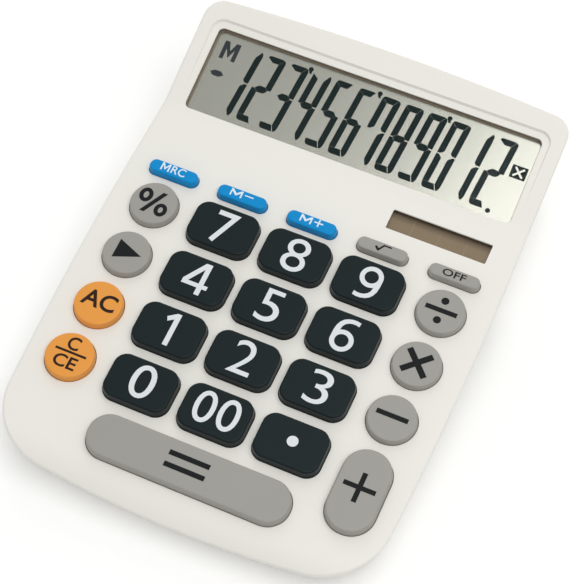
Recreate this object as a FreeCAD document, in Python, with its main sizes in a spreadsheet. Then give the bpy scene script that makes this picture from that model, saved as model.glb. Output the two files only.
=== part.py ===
import FreeCAD, Part
import math
import os
import Sketcher

# A free-standing desktop calculator. The keyboard deck is modelled flat, in its own frame:
# X to the right, Y to the display, Z square to the deck, with the origin on the deck's surface
# at the middle of the number keys. The whole is then tipped up by the deck's tilt, so that the
# row frame has +Z up, +Y to the back and its origin on the table under the middle of the case.

doc = FreeCAD.newDocument("desktop_calculator")
sheet = doc.addObject("Spreadsheet::Sheet", "dimensions")
sheet.Label = "dimensions"

DRIVING_SIZES = [
    # The stance of the case on the table
    ("deck_tilt", 5, "slope of the keyboard deck, in degrees"),
    ("deck_y", -20.15, "place of the deck's origin along the row's Y"),
    ("foot_height", 1.6, "how far the feet stand out under the case"),
    # The case in plan, at the parting line
    ("case_half_width", 61.6, "half the width of the case at its widest"),
    ("widest_y", 22, "where along the deck the case is widest"),
    ("side_bow", 1250, "radius of the bowed sides"),
    ("front_y", -63.7, "front of the case"),
    ("front_bow", 365, "radius of the bowed front"),
    ("rear_y", 101.9, "back of the case"),
    ("rear_bow", 900, "radius of the bowed back"),
    ("front_corner", 20.3, "radius of the front corners in plan"),
    ("rear_corner", 3.8, "radius of the top case's rear corners in plan"),
    ("lower_rear_corner", 5.5, "radius of the bottom case's rear corners in plan"),
    # How the walls lean inward on their way down, in degrees
    ("skirt_lean", 12, "lean of the top case's walls"),
    ("slab_lean", 26, "lean of the bottom case's walls round the front part"),
    ("stand_lean", 9, "lean of the stand's walls"),
    # The case from the side
    ("wall", 2, "thickness of the shells' walls"),
    ("deck_wall", 2.2, "thickness of the deck"),
    ("parting_depth", 5, "depth of the parting line under the deck"),
    ("slab_depth", 13, "depth of the underside of the front part"),
    ("crease_y", 65.5, "where the display face starts to rise"),
    ("display_slope", 14.5, "slope of the display face against the deck, in degrees"),
    ("crease_radius", 36, "radius of the hollow between deck and display face"),
    ("roll_start_y", -53.5, "where the front of the deck starts to roll down"),
    ("roll_radius", 18, "radius of the roll"),
    ("roll_slope", 32, "slope at the end of the roll, in degrees"),
    ("rim_radius", 0.8, "rounding of the upper rim of the case"),
    ("groove_height", 0.35, "height of the groove between the shells"),
    ("groove_depth", 0.5, "depth of the groove between the shells"),
    ("stand_y", 39, "front of the deep rear part"),
    ("stand_run", 7, "how far the stand's front wall leans forward"),
    ("base_radius", 1, "rounding of the lower rim of the case"),
    # The keyboard
    ("column_pitch", 24, "distance between the columns of number keys"),
    ("row_pitch", 19, "distance between the rows of keys"),
    ("side_column_x", 47.5, "place of the outer columns"),
    ("memory_row_y", 41.3, "place of the row of narrow keys"),
    ("memory_pitch", 23.4, "distance between the narrow keys"),
    ("key_gap", 0.2, "gap between a key and its opening"),
    ("key_lip", 0.9, "how far a key's flange reaches past the key"),
    ("lip_thickness", 1, "thickness of the flange"),
    ("lip_gap", 0.1, "gap between the flange and the deck over it"),
    ("key_draft", 6, "draft of a key's sides, in degrees"),
    ("key_rim", 0.6, "rounding of a key's upper rim"),
    ("plunger_radius", 2.2, "radius of the stem under a key"),
    ("plunger_length", 1, "length of the stem under the flange"),
    ("number_key_width", 21.2, "number key, across"),
    ("number_key_depth", 15.2, "number key, front to back"),
    ("number_key_corner", 4.3, "number key, corner radius"),
    ("number_key_rise", 3, "number key, height over the deck"),
    ("round_key_radius", 7.65, "round key, radius"),
    ("round_key_rise", 2.3, "round key, height over the deck"),
    ("narrow_key_width", 16.5, "narrow key, across"),
    ("narrow_key_depth", 4.7, "narrow key, front to back"),
    ("narrow_key_corner", 2.2, "narrow key, corner radius"),
    ("narrow_key_rise", 2.5, "narrow key, height over the deck"),
    ("equals_key_width", 63.9, "equals key, across"),
    ("equals_key_depth", 14, "equals key, front to back"),
    ("equals_key_corner", 6.7, "equals key, corner radius"),
    ("equals_key_y", -47.2, "place of the equals key"),
    ("long_key_rise", 2.8, "equals and add keys, height over the deck"),
    ("add_key_width", 15.1, "add key, across"),
    ("add_key_depth", 26.6, "add key, front to back"),
    ("add_key_corner", 7.35, "add key, corner radius"),
    ("add_key_y", -34.1, "place of the add key"),
    # The display
    ("window_y", 65.75, "lower edge of the display opening, on the deck"),
    ("window_lift", 0.2, "height of that edge over the deck"),
    ("window_slope", 12.6, "slope of the opening's rim against the deck, in degrees"),
    ("window_width", 110.4, "display opening, across"),
    ("window_height", 29.4, "display opening, up the slope"),
    ("window_corner", 1.9, "display opening, corner radius"),
    ("band_width", 2.1, "width of the sunk band round the opening"),
    ("band_foot", 0.3, "width of that band below the opening"),
    ("band_corner", 3.6, "corner radius of the band"),
    ("band_flare", 30, "flare of the band's wall, in degrees"),
    ("rim_wall", 0.7, "thickness of the wall round the opening"),
    ("lens_lip", 1.8, "how far the lens reaches behind the wall"),
    ("lens_gap", 0.12, "gap between the lens and the opening"),
    ("lens_sink", 0.15, "depth of the lens under the opening's rim"),
    ("lens_lip_thickness", 0.7, "thickness of the lens behind the wall"),
    ("tape_thickness", 0.2, "thickness of the adhesive tape"),
    ("frame_rim", 0.3, "how far the display frame shows inside the opening"),
    ("frame_height", 0.75, "height of the display frame over the glass"),
    ("film_thickness", 0.2, "thickness of a polariser or reflector"),
    ("glass_width", 113, "display glass, across"),
    ("glass_height", 32, "display glass, up the slope"),
    ("glass_thickness", 2.2, "both sheets of the display glass"),
    ("glass_y", 14.4, "middle of the glass, up the slope from the opening's edge"),
    ("frame_width", 115.4, "display frame, across"),
    ("frame_length", 34.4, "display frame, up the slope"),
    ("frame_corner", 3, "display frame, corner radius"),
    ("frame_floor", 1, "thickness of the display frame behind the glass"),
    ("tab_pitch", 32, "distance between the frame's screw tabs"),
    # The solar window
    ("solar_x", 37.1, "middle of the solar opening, across"),
    ("solar_y", 53.45, "middle of the solar opening, front to back"),
    ("solar_width", 32.6, "solar opening, across"),
    ("solar_depth", 7.2, "solar opening, front to back"),
    ("solar_corner", 0.5, "solar opening, corner radius"),
    ("solar_wall", 0.6, "thickness of the lip round the solar opening"),
    ("solar_margin", 1.5, "how far cover and cell reach past the opening"),
    ("solar_thickness", 1, "thickness of the cover, and of the cell"),
    # The circuit board and the key mat
    ("board_depth", 7.2, "depth of the board's upper face under the deck"),
    ("board_thickness", 1.6, "thickness of the board"),
    ("board_half_width", 55.5, "half the width of the board"),
    ("board_front_y", -53.5, "front edge of the board"),
    ("board_rear_y", 50.5, "rear edge of the board"),
    ("board_bevel", 14, "length of the board's front bevels, across and along"),
    ("mat_rear_y", 44.6, "rear edge of the key mat"),
    ("mat_thickness", 1, "thickness of the key mat's sheet"),
    ("dome_radius", 3.4, "radius of a dome at its foot"),
    ("dome_top_radius", 2, "radius of a dome at its top"),
    ("dome_wall", 0.5, "thickness of a dome's wall"),
    ("post_radius", 1.6, "radius of the board's posts"),
    ("pilot_radius", 0.7, "radius of the hole in a small post"),
    ("board_post_x", 38.3, "place of the outer board posts, across"),
    ("board_post_y", 19, "place of the outer board posts, front to back"),
    # The case screws
    ("case_post_x", 48.5, "place of the front posts for the case screws, across"),
    ("case_post_y", -51.5, "place of these posts, front to back"),
    ("rear_post_x", 42, "place of the rear posts for the case screws, across"),
    ("rear_post_y", 61, "place of these posts, front to back"),
    ("case_post_radius", 1.7, "radius of the posts for the case screws"),
    ("case_pilot_radius", 0.9, "radius of the hole in these posts"),
    ("post_meeting", 8, "depth under the deck where the posts of the two shells meet"),
    ("well_radius", 1.8, "radius of the wells for the screws' heads"),
    ("well_wall", 1.2, "thickness of the wells' walls"),
    ("seat_depth", 10, "depth under the deck of the seats of the screws' heads"),
    # The battery and its door, on the row's own axes
    ("bay_y", 64.6, "place of the battery's axis along the row's Y"),
    ("cell_radius", 7, "radius of the battery"),
    ("cell_length", 49.5, "length of the battery without its button"),
    ("bay_length", 57, "inside length of the battery bay"),
    ("bay_wall", 1.5, "thickness of the bay's walls"),
    ("bay_clearance", 0.5, "gap round the battery"),
    ("door_thickness", 1.6, "thickness of the battery door"),
    ("door_width", 62, "width of the battery door"),
    ("door_front_y", 52.1, "front edge of the battery door along the row's Y"),
    ("door_gap", 0.25, "gap round the battery door"),
    # The feet
    ("front_foot_x", 38, "place of the front feet, across"),
    ("front_foot_y", -50, "place of the front feet along the deck"),
    ("rear_foot_x", 48, "place of the rear feet, across"),
    ("rear_foot_y", 74.1, "place of the rear feet along the row's Y"),
    ("foot_radius", 4.5, "radius of a rubber foot"),
    ("foot_recess", 0.6, "depth to which a foot is let into the case"),
]

for row, (alias, number, meaning) in enumerate(DRIVING_SIZES, 1):
    sheet.set("A%d" % row, meaning)
    sheet.set("B%d" % row, str(number))
    sheet.setAlias("B%d" % row, alias)
doc.recompute()


# Sizes as numbers and as formulas

class Size:
    """A size taken or worked out from the sheet: its number, and the same sum as a formula."""

    def __init__(self, number, formula):
        self.number = number
        self.formula = formula

    def __add__(self, other):
        other = as_size(other)
        return Size(self.number + other.number, "(%s + %s)" % (self.formula, other.formula))

    def __sub__(self, other):
        other = as_size(other)
        return Size(self.number - other.number, "(%s - %s)" % (self.formula, other.formula))

    def __mul__(self, other):
        other = as_size(other)
        return Size(self.number * other.number, "(%s * %s)" % (self.formula, other.formula))

    def __truediv__(self, other):
        other = as_size(other)
        return Size(self.number / other.number, "(%s / %s)" % (self.formula, other.formula))

    def __neg__(self):
        return Size(-self.number, "(-%s)" % self.formula)


def as_size(value):
    return value if isinstance(value, Size) else Size(float(value), "(%s)" % float(value))


def size(alias):
    """The size with this name in the sheet."""
    return Size(float(sheet.get(alias)), "dimensions.%s" % alias)


def sine(angle):
    return Size(math.sin(math.radians(angle.number)), "sin(%s * 1 deg)" % angle.formula)


def cosine(angle):
    return Size(math.cos(math.radians(angle.number)), "cos(%s * 1 deg)" % angle.formula)


def tangent(angle):
    return Size(math.tan(math.radians(angle.number)), "tan(%s * 1 deg)" % angle.formula)


ZERO = as_size(0)
DECK_TILT = size("deck_tilt")
DECK_Y = size("deck_y")
WALL = size("wall")
FRONT_FOOT_Y = size("front_foot_y")

# The deck's origin stands so high that the front feet, let into the slab, reach the table.
DECK_Z = (size("foot_height") + size("slab_depth") * cosine(DECK_TILT)
          - FRONT_FOOT_Y * sine(DECK_TILT))


# Placing

def place(thing, x=ZERO, y=ZERO, z=ZERO, tilt=None):
    """Puts a thing at x, y, z on the row's axes, turned about X by tilt."""
    angle = tilt.number if tilt else 0.0
    spot = FreeCAD.Vector(x.number, y.number, z.number)
    thing.Placement = FreeCAD.Placement(spot, FreeCAD.Rotation(FreeCAD.Vector(1, 0, 0), angle))
    thing.setExpression("Placement.Base.x", x.formula)
    thing.setExpression("Placement.Base.y", y.formula)
    thing.setExpression("Placement.Base.z", z.formula)
    if tilt:
        thing.setExpression("Placement.Rotation.Angle", tilt.formula)


def place_on_deck(thing, x=ZERO, y=ZERO, z=ZERO, tilt=ZERO):
    """Puts a thing at x, y, z on the deck's axes, turned about X by a further tilt."""
    row_y = DECK_Y + y * cosine(DECK_TILT) - z * sine(DECK_TILT)
    row_z = DECK_Z + y * sine(DECK_TILT) + z * cosine(DECK_TILT)
    place(thing, x, row_y, row_z, DECK_TILT + tilt)


# Sketches

def new_body(name):
    body = doc.addObject("PartDesign::Body", name)
    body.Label = name
    return body


def new_sketch(body, name, plane="XY_Plane", lift=ZERO):
    """A sketch on a plane of the body's own origin, lifted along the plane's normal."""
    sketch = body.newObject("Sketcher::SketchObject", name)
    support = [feature for feature in body.Origin.OriginFeatures if feature.Role == plane][0]
    sketch.AttachmentSupport = [(support, "")]
    sketch.MapMode = "FlatFace"
    sketch.setExpression("AttachmentOffset.Base.z", lift.formula)
    return sketch


def drive(sketch, kind, where, amount):
    """Adds a constraint whose value is a formula on the sheet."""
    value = math.radians(amount.number) if kind == "Angle" else amount.number
    index = sketch.addConstraint(Sketcher.Constraint(kind, *where, value))
    sketch.setExpression("Constraints[%d]" % index, amount.formula)


def add_line(sketch, start, end):
    segment = Part.LineSegment(FreeCAD.Vector(*start, 0), FreeCAD.Vector(*end, 0))
    return sketch.addGeometry(segment, False)


def add_arc(sketch, centre, radius, start_angle, end_angle):
    circle = Part.Circle(FreeCAD.Vector(*centre, 0), FreeCAD.Vector(0, 0, 1), radius)
    arc = Part.ArcOfCircle(circle, math.radians(start_angle), math.radians(end_angle))
    return sketch.addGeometry(arc, False)


def draw_circle(sketch, radius, x=ZERO, y=ZERO):
    circle = Part.Circle(FreeCAD.Vector(x.number, y.number, 0), FreeCAD.Vector(0, 0, 1), radius.number)
    index = sketch.addGeometry(circle, False)
    drive(sketch, "Radius", (index,), radius)
    drive(sketch, "DistanceX", (-1, 1, index, 3), x)
    drive(sketch, "DistanceY", (-1, 1, index, 3), y)


def draw_rectangle(sketch, left, right, bottom, top, corner):
    """A rectangle with rounded corners."""
    x0, x1, y0, y1 = left.number, right.number, bottom.number, top.number
    bend = corner.number
    lower = add_line(sketch, (x0 + bend, y0), (x1 - bend, y0))
    arc_a = add_arc(sketch, (x1 - bend, y0 + bend), bend, -90, 0)
    right_side = add_line(sketch, (x1, y0 + bend), (x1, y1 - bend))
    arc_b = add_arc(sketch, (x1 - bend, y1 - bend), bend, 0, 90)
    upper = add_line(sketch, (x1 - bend, y1), (x0 + bend, y1))
    arc_c = add_arc(sketch, (x0 + bend, y1 - bend), bend, 90, 180)
    left_side = add_line(sketch, (x0, y1 - bend), (x0, y0 + bend))
    arc_d = add_arc(sketch, (x0 + bend, y0 + bend), bend, 180, 270)
    chain = [lower, arc_a, right_side, arc_b, upper, arc_c, left_side, arc_d]
    for first, second in zip(chain, chain[1:] + chain[:1]):
        sketch.addConstraint(Sketcher.Constraint("Tangent", first, 2, second, 1))
    for flat in (lower, upper):
        sketch.addConstraint(Sketcher.Constraint("Horizontal", flat))
    for upright in (right_side, left_side):
        sketch.addConstraint(Sketcher.Constraint("Vertical", upright))
    for arc in (arc_b, arc_c, arc_d):
        sketch.addConstraint(Sketcher.Constraint("Equal", arc_a, arc))
    drive(sketch, "Radius", (arc_a,), corner)
    drive(sketch, "DistanceX", (-1, 1, left_side, 1), left)
    drive(sketch, "DistanceX", (-1, 1, right_side, 1), right)
    drive(sketch, "DistanceY", (-1, 1, lower, 1), bottom)
    drive(sketch, "DistanceY", (-1, 1, upper, 1), top)


def draw_polygon(sketch, corners):
    """A closed outline of straight lines through corners given as pairs of sizes."""
    lines = []
    for start, end in zip(corners, corners[1:] + corners[:1]):
        start_point = (start[0].number, start[1].number)
        end_point = (end[0].number, end[1].number)
        lines.append(add_line(sketch, start_point, end_point))
    for first, second in zip(lines, lines[1:] + lines[:1]):
        sketch.addConstraint(Sketcher.Constraint("Coincident", first, 2, second, 1))
    for line, (across, up) in zip(lines, corners):
        drive(sketch, "DistanceX", (-1, 1, line, 1), across)
        drive(sketch, "DistanceY", (-1, 1, line, 1), up)


# Features

def pad(body, sketch, length, reverse=False, draft=None, both_ways=False):
    """Extrudes a sketch; a draft makes it narrower as it goes."""
    feature = body.newObject("PartDesign::Pad", sketch.Name + "_pad")
    feature.Profile = sketch
    feature.Reversed = reverse
    feature.setExpression("Length", length.formula)
    if both_ways:
        feature.SideType = "Symmetric"
    if draft:
        feature.setExpression("TaperAngle", (-draft).formula)
    sketch.Visibility = False
    body.Tip = feature
    return feature


def pocket(body, sketch, length, reverse=False, draft=None, both_ways=False):
    """Cuts a sketch out of the body, and checks that it did cut."""
    doc.recompute()
    before = body.Shape.Volume
    feature = body.newObject("PartDesign::Pocket", sketch.Name + "_cut")
    feature.Profile = sketch
    feature.Reversed = reverse
    feature.setExpression("Length", length.formula)
    if both_ways:
        feature.SideType = "Symmetric"
    if draft:
        feature.setExpression("TaperAngle", draft.formula)
    sketch.Visibility = False
    body.Tip = feature
    doc.recompute()
    if body.Shape.Volume > before - 1e-3:
        raise RuntimeError("%s cuts nothing" % feature.Name)
    return feature


def round_edges(body, radius, chosen, kind="PartDesign::Fillet"):
    """Rounds or chamfers those edges of the body for which chosen(edge) is true."""
    doc.recompute()
    names = []
    for index, edge in enumerate(body.Shape.Edges, 1):
        if chosen(edge):
            names.append("Edge%d" % index)
    if not names:
        raise RuntimeError("no edge to round on %s" % body.Name)
    base = body.Tip
    feature = body.newObject(kind, "%s_edges_%d" % (body.Name, len(body.Group)))
    feature.Base = (base, names)
    feature.setExpression("Radius" if kind.endswith("Fillet") else "Size", radius.formula)
    body.Tip = feature
    return feature


def level_edge(height, tolerance=0.01):
    """True for an edge that lies level at this height of the body's own frame."""
    def chosen(edge):
        box = edge.BoundBox
        return abs(box.ZMin - height) < tolerance and abs(box.ZMax - height) < tolerance
    return chosen


def cylinder(name, radius, length, x=ZERO, y=ZERO, z=ZERO, tilt=None):
    """A plain cylinder on the deck's or the row's axes, for posts, holes and wells."""
    shape = doc.addObject("Part::Cylinder", name)
    shape.setExpression("Radius", radius.formula)
    shape.setExpression("Height", length.formula)
    place(shape, x, y, z, tilt)
    return shape


def block(name, left, right, front, back, low, high):
    """A plain box between six planes."""
    shape = doc.addObject("Part::Box", name)
    shape.setExpression("Length", (right - left).formula)
    shape.setExpression("Width", (back - front).formula)
    shape.setExpression("Height", (high - low).formula)
    place(shape, left, front, low)
    return shape


def fuse(name, shapes):
    fused = doc.addObject("Part::MultiFuse", name)
    fused.Shapes = shapes
    return fused


def cut(name, base, tool):
    """Cuts tool out of base, and checks that it did cut."""
    result = doc.addObject("Part::Cut", name)
    result.Base = base
    result.Tool = tool
    doc.recompute()
    if result.Shape.Volume > base.Shape.Volume - 1e-3:
        raise RuntimeError("%s cuts nothing" % name)
    return result


def finish(thing, name):
    """Gives a piece its name, and lists it for the check and the export."""
    thing.Label = name
    PIECES[name] = thing
    return thing


PIECES = {}


# The keys

LIP_TOP = -(size("deck_wall") + size("lip_gap"))


def key_outline(sketch, plan, growth=ZERO):
    """Draws a key's outline, grown all round by growth."""
    if "radius" in plan:
        draw_circle(sketch, plan["radius"] + growth)
        return
    half_width = plan["width"] / 2 + growth
    half_depth = plan["depth"] / 2 + growth
    draw_rectangle(sketch, -half_width, half_width, -half_depth, half_depth, plan["corner"] + growth)


def make_key(name, plan, x, y):
    """A moulded key: a drafted cap with a rounded rim, a flange under the deck and a stem."""
    body = new_body(name)
    cap = new_sketch(body, name + "_cap")
    key_outline(cap, plan)
    pad(body, cap, plan["rise"], draft=size("key_draft"))
    round_edges(body, size("key_rim"), level_edge(plan["rise"].number))
    skirt = new_sketch(body, name + "_skirt")
    key_outline(skirt, plan)
    pad(body, skirt, -LIP_TOP, reverse=True)
    lip = new_sketch(body, name + "_lip", lift=LIP_TOP)
    key_outline(lip, plan, size("key_lip"))
    pad(body, lip, size("lip_thickness"), reverse=True)
    stem = new_sketch(body, name + "_stem", lift=LIP_TOP - size("lip_thickness"))
    draw_circle(stem, size("plunger_radius"))
    pad(body, stem, size("plunger_length"), reverse=True)
    place_on_deck(body, x, y)
    finish(body, name)


def opening_tool(name, plan, x, y):
    """The tool that cuts a key's opening through the deck."""
    body = new_body(name)
    outline = new_sketch(body, name + "_outline")
    key_outline(outline, plan, size("key_gap"))
    pad(body, outline, OPENING_REACH, both_ways=True)
    place(body, x, y)
    return body


NUMBER_KEY = {"width": size("number_key_width"), "depth": size("number_key_depth"),
              "corner": size("number_key_corner"), "rise": size("number_key_rise")}
ROUND_KEY = {"radius": size("round_key_radius"), "rise": size("round_key_rise")}
NARROW_KEY = {"width": size("narrow_key_width"), "depth": size("narrow_key_depth"),
              "corner": size("narrow_key_corner"), "rise": size("narrow_key_rise")}
EQUALS_KEY = {"width": size("equals_key_width"), "depth": size("equals_key_depth"),
              "corner": size("equals_key_corner"), "rise": size("long_key_rise")}
ADD_KEY = {"width": size("add_key_width"), "depth": size("add_key_depth"),
           "corner": size("add_key_corner"), "rise": size("long_key_rise")}

NUMBER_ROWS = [["7", "8", "9"], ["4", "5", "6"], ["1", "2", "3"], ["0", "00", "point"]]
LEFT_KEYS = ["percent", "backspace", "all_clear", "clear"]
RIGHT_KEYS = ["divide", "multiply", "subtract"]
MEMORY_KEYS = ["memory_recall", "memory_minus", "memory_plus", "square_root", "off"]


def row_y(row):
    """The place along the deck of a row of keys, counted from the back."""
    return size("row_pitch") * (1.5 - row)


def key_layout():
    """Every key as its name, its plan and its place on the deck."""
    keys = []
    for row, names in enumerate(NUMBER_ROWS):
        for column, name in enumerate(names, -1):
            keys.append(("key_" + name, NUMBER_KEY, size("column_pitch") * column, row_y(row)))
    for row, name in enumerate(LEFT_KEYS):
        keys.append(("key_" + name, ROUND_KEY, -size("side_column_x"), row_y(row)))
    for row, name in enumerate(RIGHT_KEYS):
        keys.append(("key_" + name, ROUND_KEY, size("side_column_x"), row_y(row)))
    for column, name in enumerate(MEMORY_KEYS, -2):
        keys.append(("key_" + name, NARROW_KEY, size("memory_pitch") * column, size("memory_row_y")))
    keys.append(("key_equals", EQUALS_KEY, ZERO, size("equals_key_y")))
    keys.append(("key_add", ADD_KEY, size("side_column_x"), size("add_key_y")))
    return keys


KEYS = key_layout()
for key_name, key_plan, key_x, key_y in KEYS:
    make_key(key_name, key_plan, key_x, key_y)


# The case's plan, shared by both shells and their hollows

def corner_centre(end_centre, end_radius, side_centre, side_radius, bend, upper):
    """Where the centre of a corner arc lies that touches an end arc and a side arc from inside."""
    reach_end = end_radius - bend
    reach_side = side_radius - bend
    span_x = side_centre[0] - end_centre[0]
    span_y = side_centre[1] - end_centre[1]
    span = math.hypot(span_x, span_y)
    along = (reach_end ** 2 - reach_side ** 2 + span ** 2) / (2 * span)
    off = math.sqrt(reach_end ** 2 - along ** 2)
    foot = (end_centre[0] + along * span_x / span, end_centre[1] + along * span_y / span)
    choices = []
    for sign in (1, -1):
        choices.append((foot[0] + sign * off * span_y / span, foot[1] - sign * off * span_x / span))
    right = [choice for choice in choices if choice[0] > 0 and (choice[1] > 0) == upper]
    return right[0]


def heading(start, end):
    """The direction from start to end, in degrees."""
    return math.degrees(math.atan2(end[1] - start[1], end[0] - start[0]))


def draw_case_plan(sketch, growth, rear_bend):
    """The case's outline: four bowed sides and four corner arcs, each tangent to the next."""
    front_radius = size("front_bow")
    rear_radius = size("rear_bow")
    side_radius = size("side_bow")
    front_centre_y = size("front_y") + front_radius
    rear_centre_y = size("rear_y") - rear_radius
    side_centre_x = size("case_half_width") - side_radius
    front_radius = front_radius + growth
    side_radius = side_radius + growth
    rear_radius = rear_radius + growth
    front_bend = size("front_corner") + growth
    front_at = (0, front_centre_y.number)
    rear_at = (0, rear_centre_y.number)
    right_at = (side_centre_x.number, size("widest_y").number)
    left_at = (-side_centre_x.number, size("widest_y").number)
    front_corner = corner_centre(front_at, front_radius.number, right_at, side_radius.number,
                                 front_bend.number, False)
    rear_corner = corner_centre(rear_at, rear_radius.number, right_at, side_radius.number,
                                rear_bend.number, True)
    front_left = (-front_corner[0], front_corner[1])
    rear_left = (-rear_corner[0], rear_corner[1])
    front_right_turn = heading(front_at, front_corner)
    right_front_turn = heading(right_at, front_corner)
    right_rear_turn = heading(right_at, rear_corner)
    rear_right_turn = heading(rear_at, rear_corner)
    front = add_arc(sketch, front_at, front_radius.number, -180 - front_right_turn, front_right_turn)
    corner_a = add_arc(sketch, front_corner, front_bend.number, front_right_turn, right_front_turn)
    right = add_arc(sketch, right_at, side_radius.number, right_front_turn, right_rear_turn)
    corner_b = add_arc(sketch, rear_corner, rear_bend.number, right_rear_turn, rear_right_turn)
    rear = add_arc(sketch, rear_at, rear_radius.number, rear_right_turn, 180 - rear_right_turn)
    corner_c = add_arc(sketch, rear_left, rear_bend.number, 180 - rear_right_turn,
                       180 - right_rear_turn)
    left = add_arc(sketch, left_at, side_radius.number, 180 - right_rear_turn, 180 - right_front_turn)
    corner_d = add_arc(sketch, front_left, front_bend.number, 180 - right_front_turn,
                       180 - front_right_turn)
    chain = [front, corner_a, right, corner_b, rear, corner_c, left, corner_d]
    for first, second in zip(chain, chain[1:] + chain[:1]):
        sketch.addConstraint(Sketcher.Constraint("Tangent", first, 2, second, 1))
    for arc, radius in ((front, front_radius), (rear, rear_radius), (right, side_radius),
                        (left, side_radius), (corner_a, front_bend), (corner_d, front_bend),
                        (corner_b, rear_bend), (corner_c, rear_bend)):
        drive(sketch, "Radius", (arc,), radius)
    for arc, centre_x, centre_y in ((front, ZERO, front_centre_y), (rear, ZERO, rear_centre_y),
                                    (right, side_centre_x, size("widest_y")),
                                    (left, -side_centre_x, size("widest_y"))):
        drive(sketch, "DistanceX", (-1, 1, arc, 3), centre_x)
        drive(sketch, "DistanceY", (-1, 1, arc, 3), centre_y)


def pad_case_plan(body, level, length, lean, rear_bend, inset=ZERO, down=False):
    """The case's plan padded up or down from a level, its walls leaning inward on their way down."""
    plan = new_sketch(body, body.Name + "_plan", lift=level)
    draw_case_plan(plan, (level - PARTING) * tangent(lean) - inset, rear_bend)
    pad(body, plan, length, reverse=down, draft=lean if down else -lean)


PARTING = -size("parting_depth")
TOP_REACH = as_size(20)
OPENING_REACH = as_size(12)
BAND_REACH = as_size(4)
SEAT_REACH = as_size(3)
SEAT_GAP = as_size(0.15)
FAR_WIDTH = as_size(200)
FAR_BACK = as_size(130)
FAR_FRONT = as_size(-90)


# The top case

def make_deck_block():
    """The outside of the top case: the plan, cut to the deck, its front roll and display face."""
    body = new_body("deck_block")
    pad_case_plan(body, PARTING, TOP_REACH, size("skirt_lean"), size("rear_corner"))
    profile = new_sketch(body, "deck_profile", "YZ_Plane")
    roll = size("roll_radius")
    hollow = size("crease_radius")
    roll_slope = size("roll_slope")
    slope = size("display_slope")
    roll_y = size("roll_start_y")
    hollow_y = size("crease_y") - hollow * tangent(slope / 2)
    roll_end_y = roll_y - roll * sine(roll_slope)
    roll_end_z = -(roll * (as_size(1) - cosine(roll_slope)))
    front_z = roll_end_z - (roll_end_y - FAR_FRONT) * tangent(roll_slope)
    hollow_end_y = hollow_y + hollow * sine(slope)
    hollow_end_z = hollow * (as_size(1) - cosine(slope))
    back_z = hollow_end_z + (FAR_BACK - hollow_end_y) * tangent(slope)
    high = TOP_REACH + 10
    front_slope = add_line(profile, (FAR_FRONT.number, front_z.number),
                           (roll_end_y.number, roll_end_z.number))
    roll_arc = add_arc(profile, (roll_y.number, -roll.number), roll.number,
                       90, 90 + roll_slope.number)
    deck = add_line(profile, (roll_y.number, 0), (hollow_y.number, 0))
    hollow_arc = add_arc(profile, (hollow_y.number, hollow.number), hollow.number,
                         -90, -90 + slope.number)
    face = add_line(profile, (hollow_end_y.number, hollow_end_z.number),
                    (FAR_BACK.number, back_z.number))
    back = add_line(profile, (FAR_BACK.number, back_z.number), (FAR_BACK.number, high.number))
    top = add_line(profile, (FAR_BACK.number, high.number), (FAR_FRONT.number, high.number))
    front = add_line(profile, (FAR_FRONT.number, high.number), (FAR_FRONT.number, front_z.number))
    joints = [("Tangent", front_slope, 2, roll_arc, 2), ("Tangent", roll_arc, 1, deck, 1),
              ("Tangent", deck, 2, hollow_arc, 1), ("Tangent", hollow_arc, 2, face, 1),
              ("Coincident", face, 2, back, 1), ("Coincident", back, 2, top, 1),
              ("Coincident", top, 2, front, 1), ("Coincident", front, 2, front_slope, 1),
              ("Horizontal", deck), ("Vertical", back), ("Horizontal", top), ("Vertical", front),
              ("PointOnObject", deck, 1, -1)]
    for joint in joints:
        profile.addConstraint(Sketcher.Constraint(*joint))
    drive(profile, "Radius", (roll_arc,), roll)
    drive(profile, "Radius", (hollow_arc,), hollow)
    drive(profile, "DistanceX", (-1, 1, deck, 1), roll_y)
    drive(profile, "DistanceX", (-1, 1, deck, 2), hollow_y)
    drive(profile, "DistanceY", (-1, 1, roll_arc, 2), roll_end_z)
    drive(profile, "DistanceY", (-1, 1, hollow_arc, 2), hollow_end_z)
    drive(profile, "DistanceX", (-1, 1, back, 2), FAR_BACK)
    drive(profile, "DistanceY", (-1, 1, back, 2), high)
    drive(profile, "DistanceX", (-1, 1, front, 1), FAR_FRONT)
    pocket(body, profile, FAR_WIDTH, both_ways=True)

    def rim(edge):
        return edge.BoundBox.ZMin > PARTING.number + 0.2 and not square_to_sides(edge)
    round_edges(body, size("rim_radius"), rim)
    return body


def square_to_sides(edge):
    """True for the straight edges that cross the case from side to side."""
    box = edge.BoundBox
    return box.XLength > 100 and box.YLength < 0.01 and box.ZLength < 0.01


def make_deck_hollow():
    """The inside of the top case."""
    body = new_body("deck_hollow")
    pad_case_plan(body, PARTING - 1, TOP_REACH + 1, size("skirt_lean"), size("rear_corner") - WALL, WALL)
    profile = new_sketch(body, "deck_hollow_profile", "YZ_Plane")
    ceiling = -size("deck_wall")
    slope = tangent(size("window_slope"))
    bend_y = size("crease_y") - CEILING_BEND
    roll_edge_y = size("front_y") + CEILING_FRONT
    back_z = WINDOW_CEILING_Z + (FAR_BACK - size("window_y")) * slope
    bend_z = WINDOW_CEILING_Z + (bend_y - size("window_y")) * slope
    high = TOP_REACH + 10
    draw_polygon(profile, [(FAR_FRONT, high), (FAR_FRONT, PARTING), (roll_edge_y, PARTING),
                           (size("roll_start_y") - WALL, ceiling), (bend_y - 1, ceiling),
                           (bend_y, bend_z), (FAR_BACK, back_z), (FAR_BACK, high)])
    pocket(body, profile, FAR_WIDTH, both_ways=True)
    return body


# Where the hollow's ceiling bends up before the crease, and where it meets the parting in front
CEILING_BEND = as_size(3.5)
CEILING_FRONT = as_size(1.7)
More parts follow.
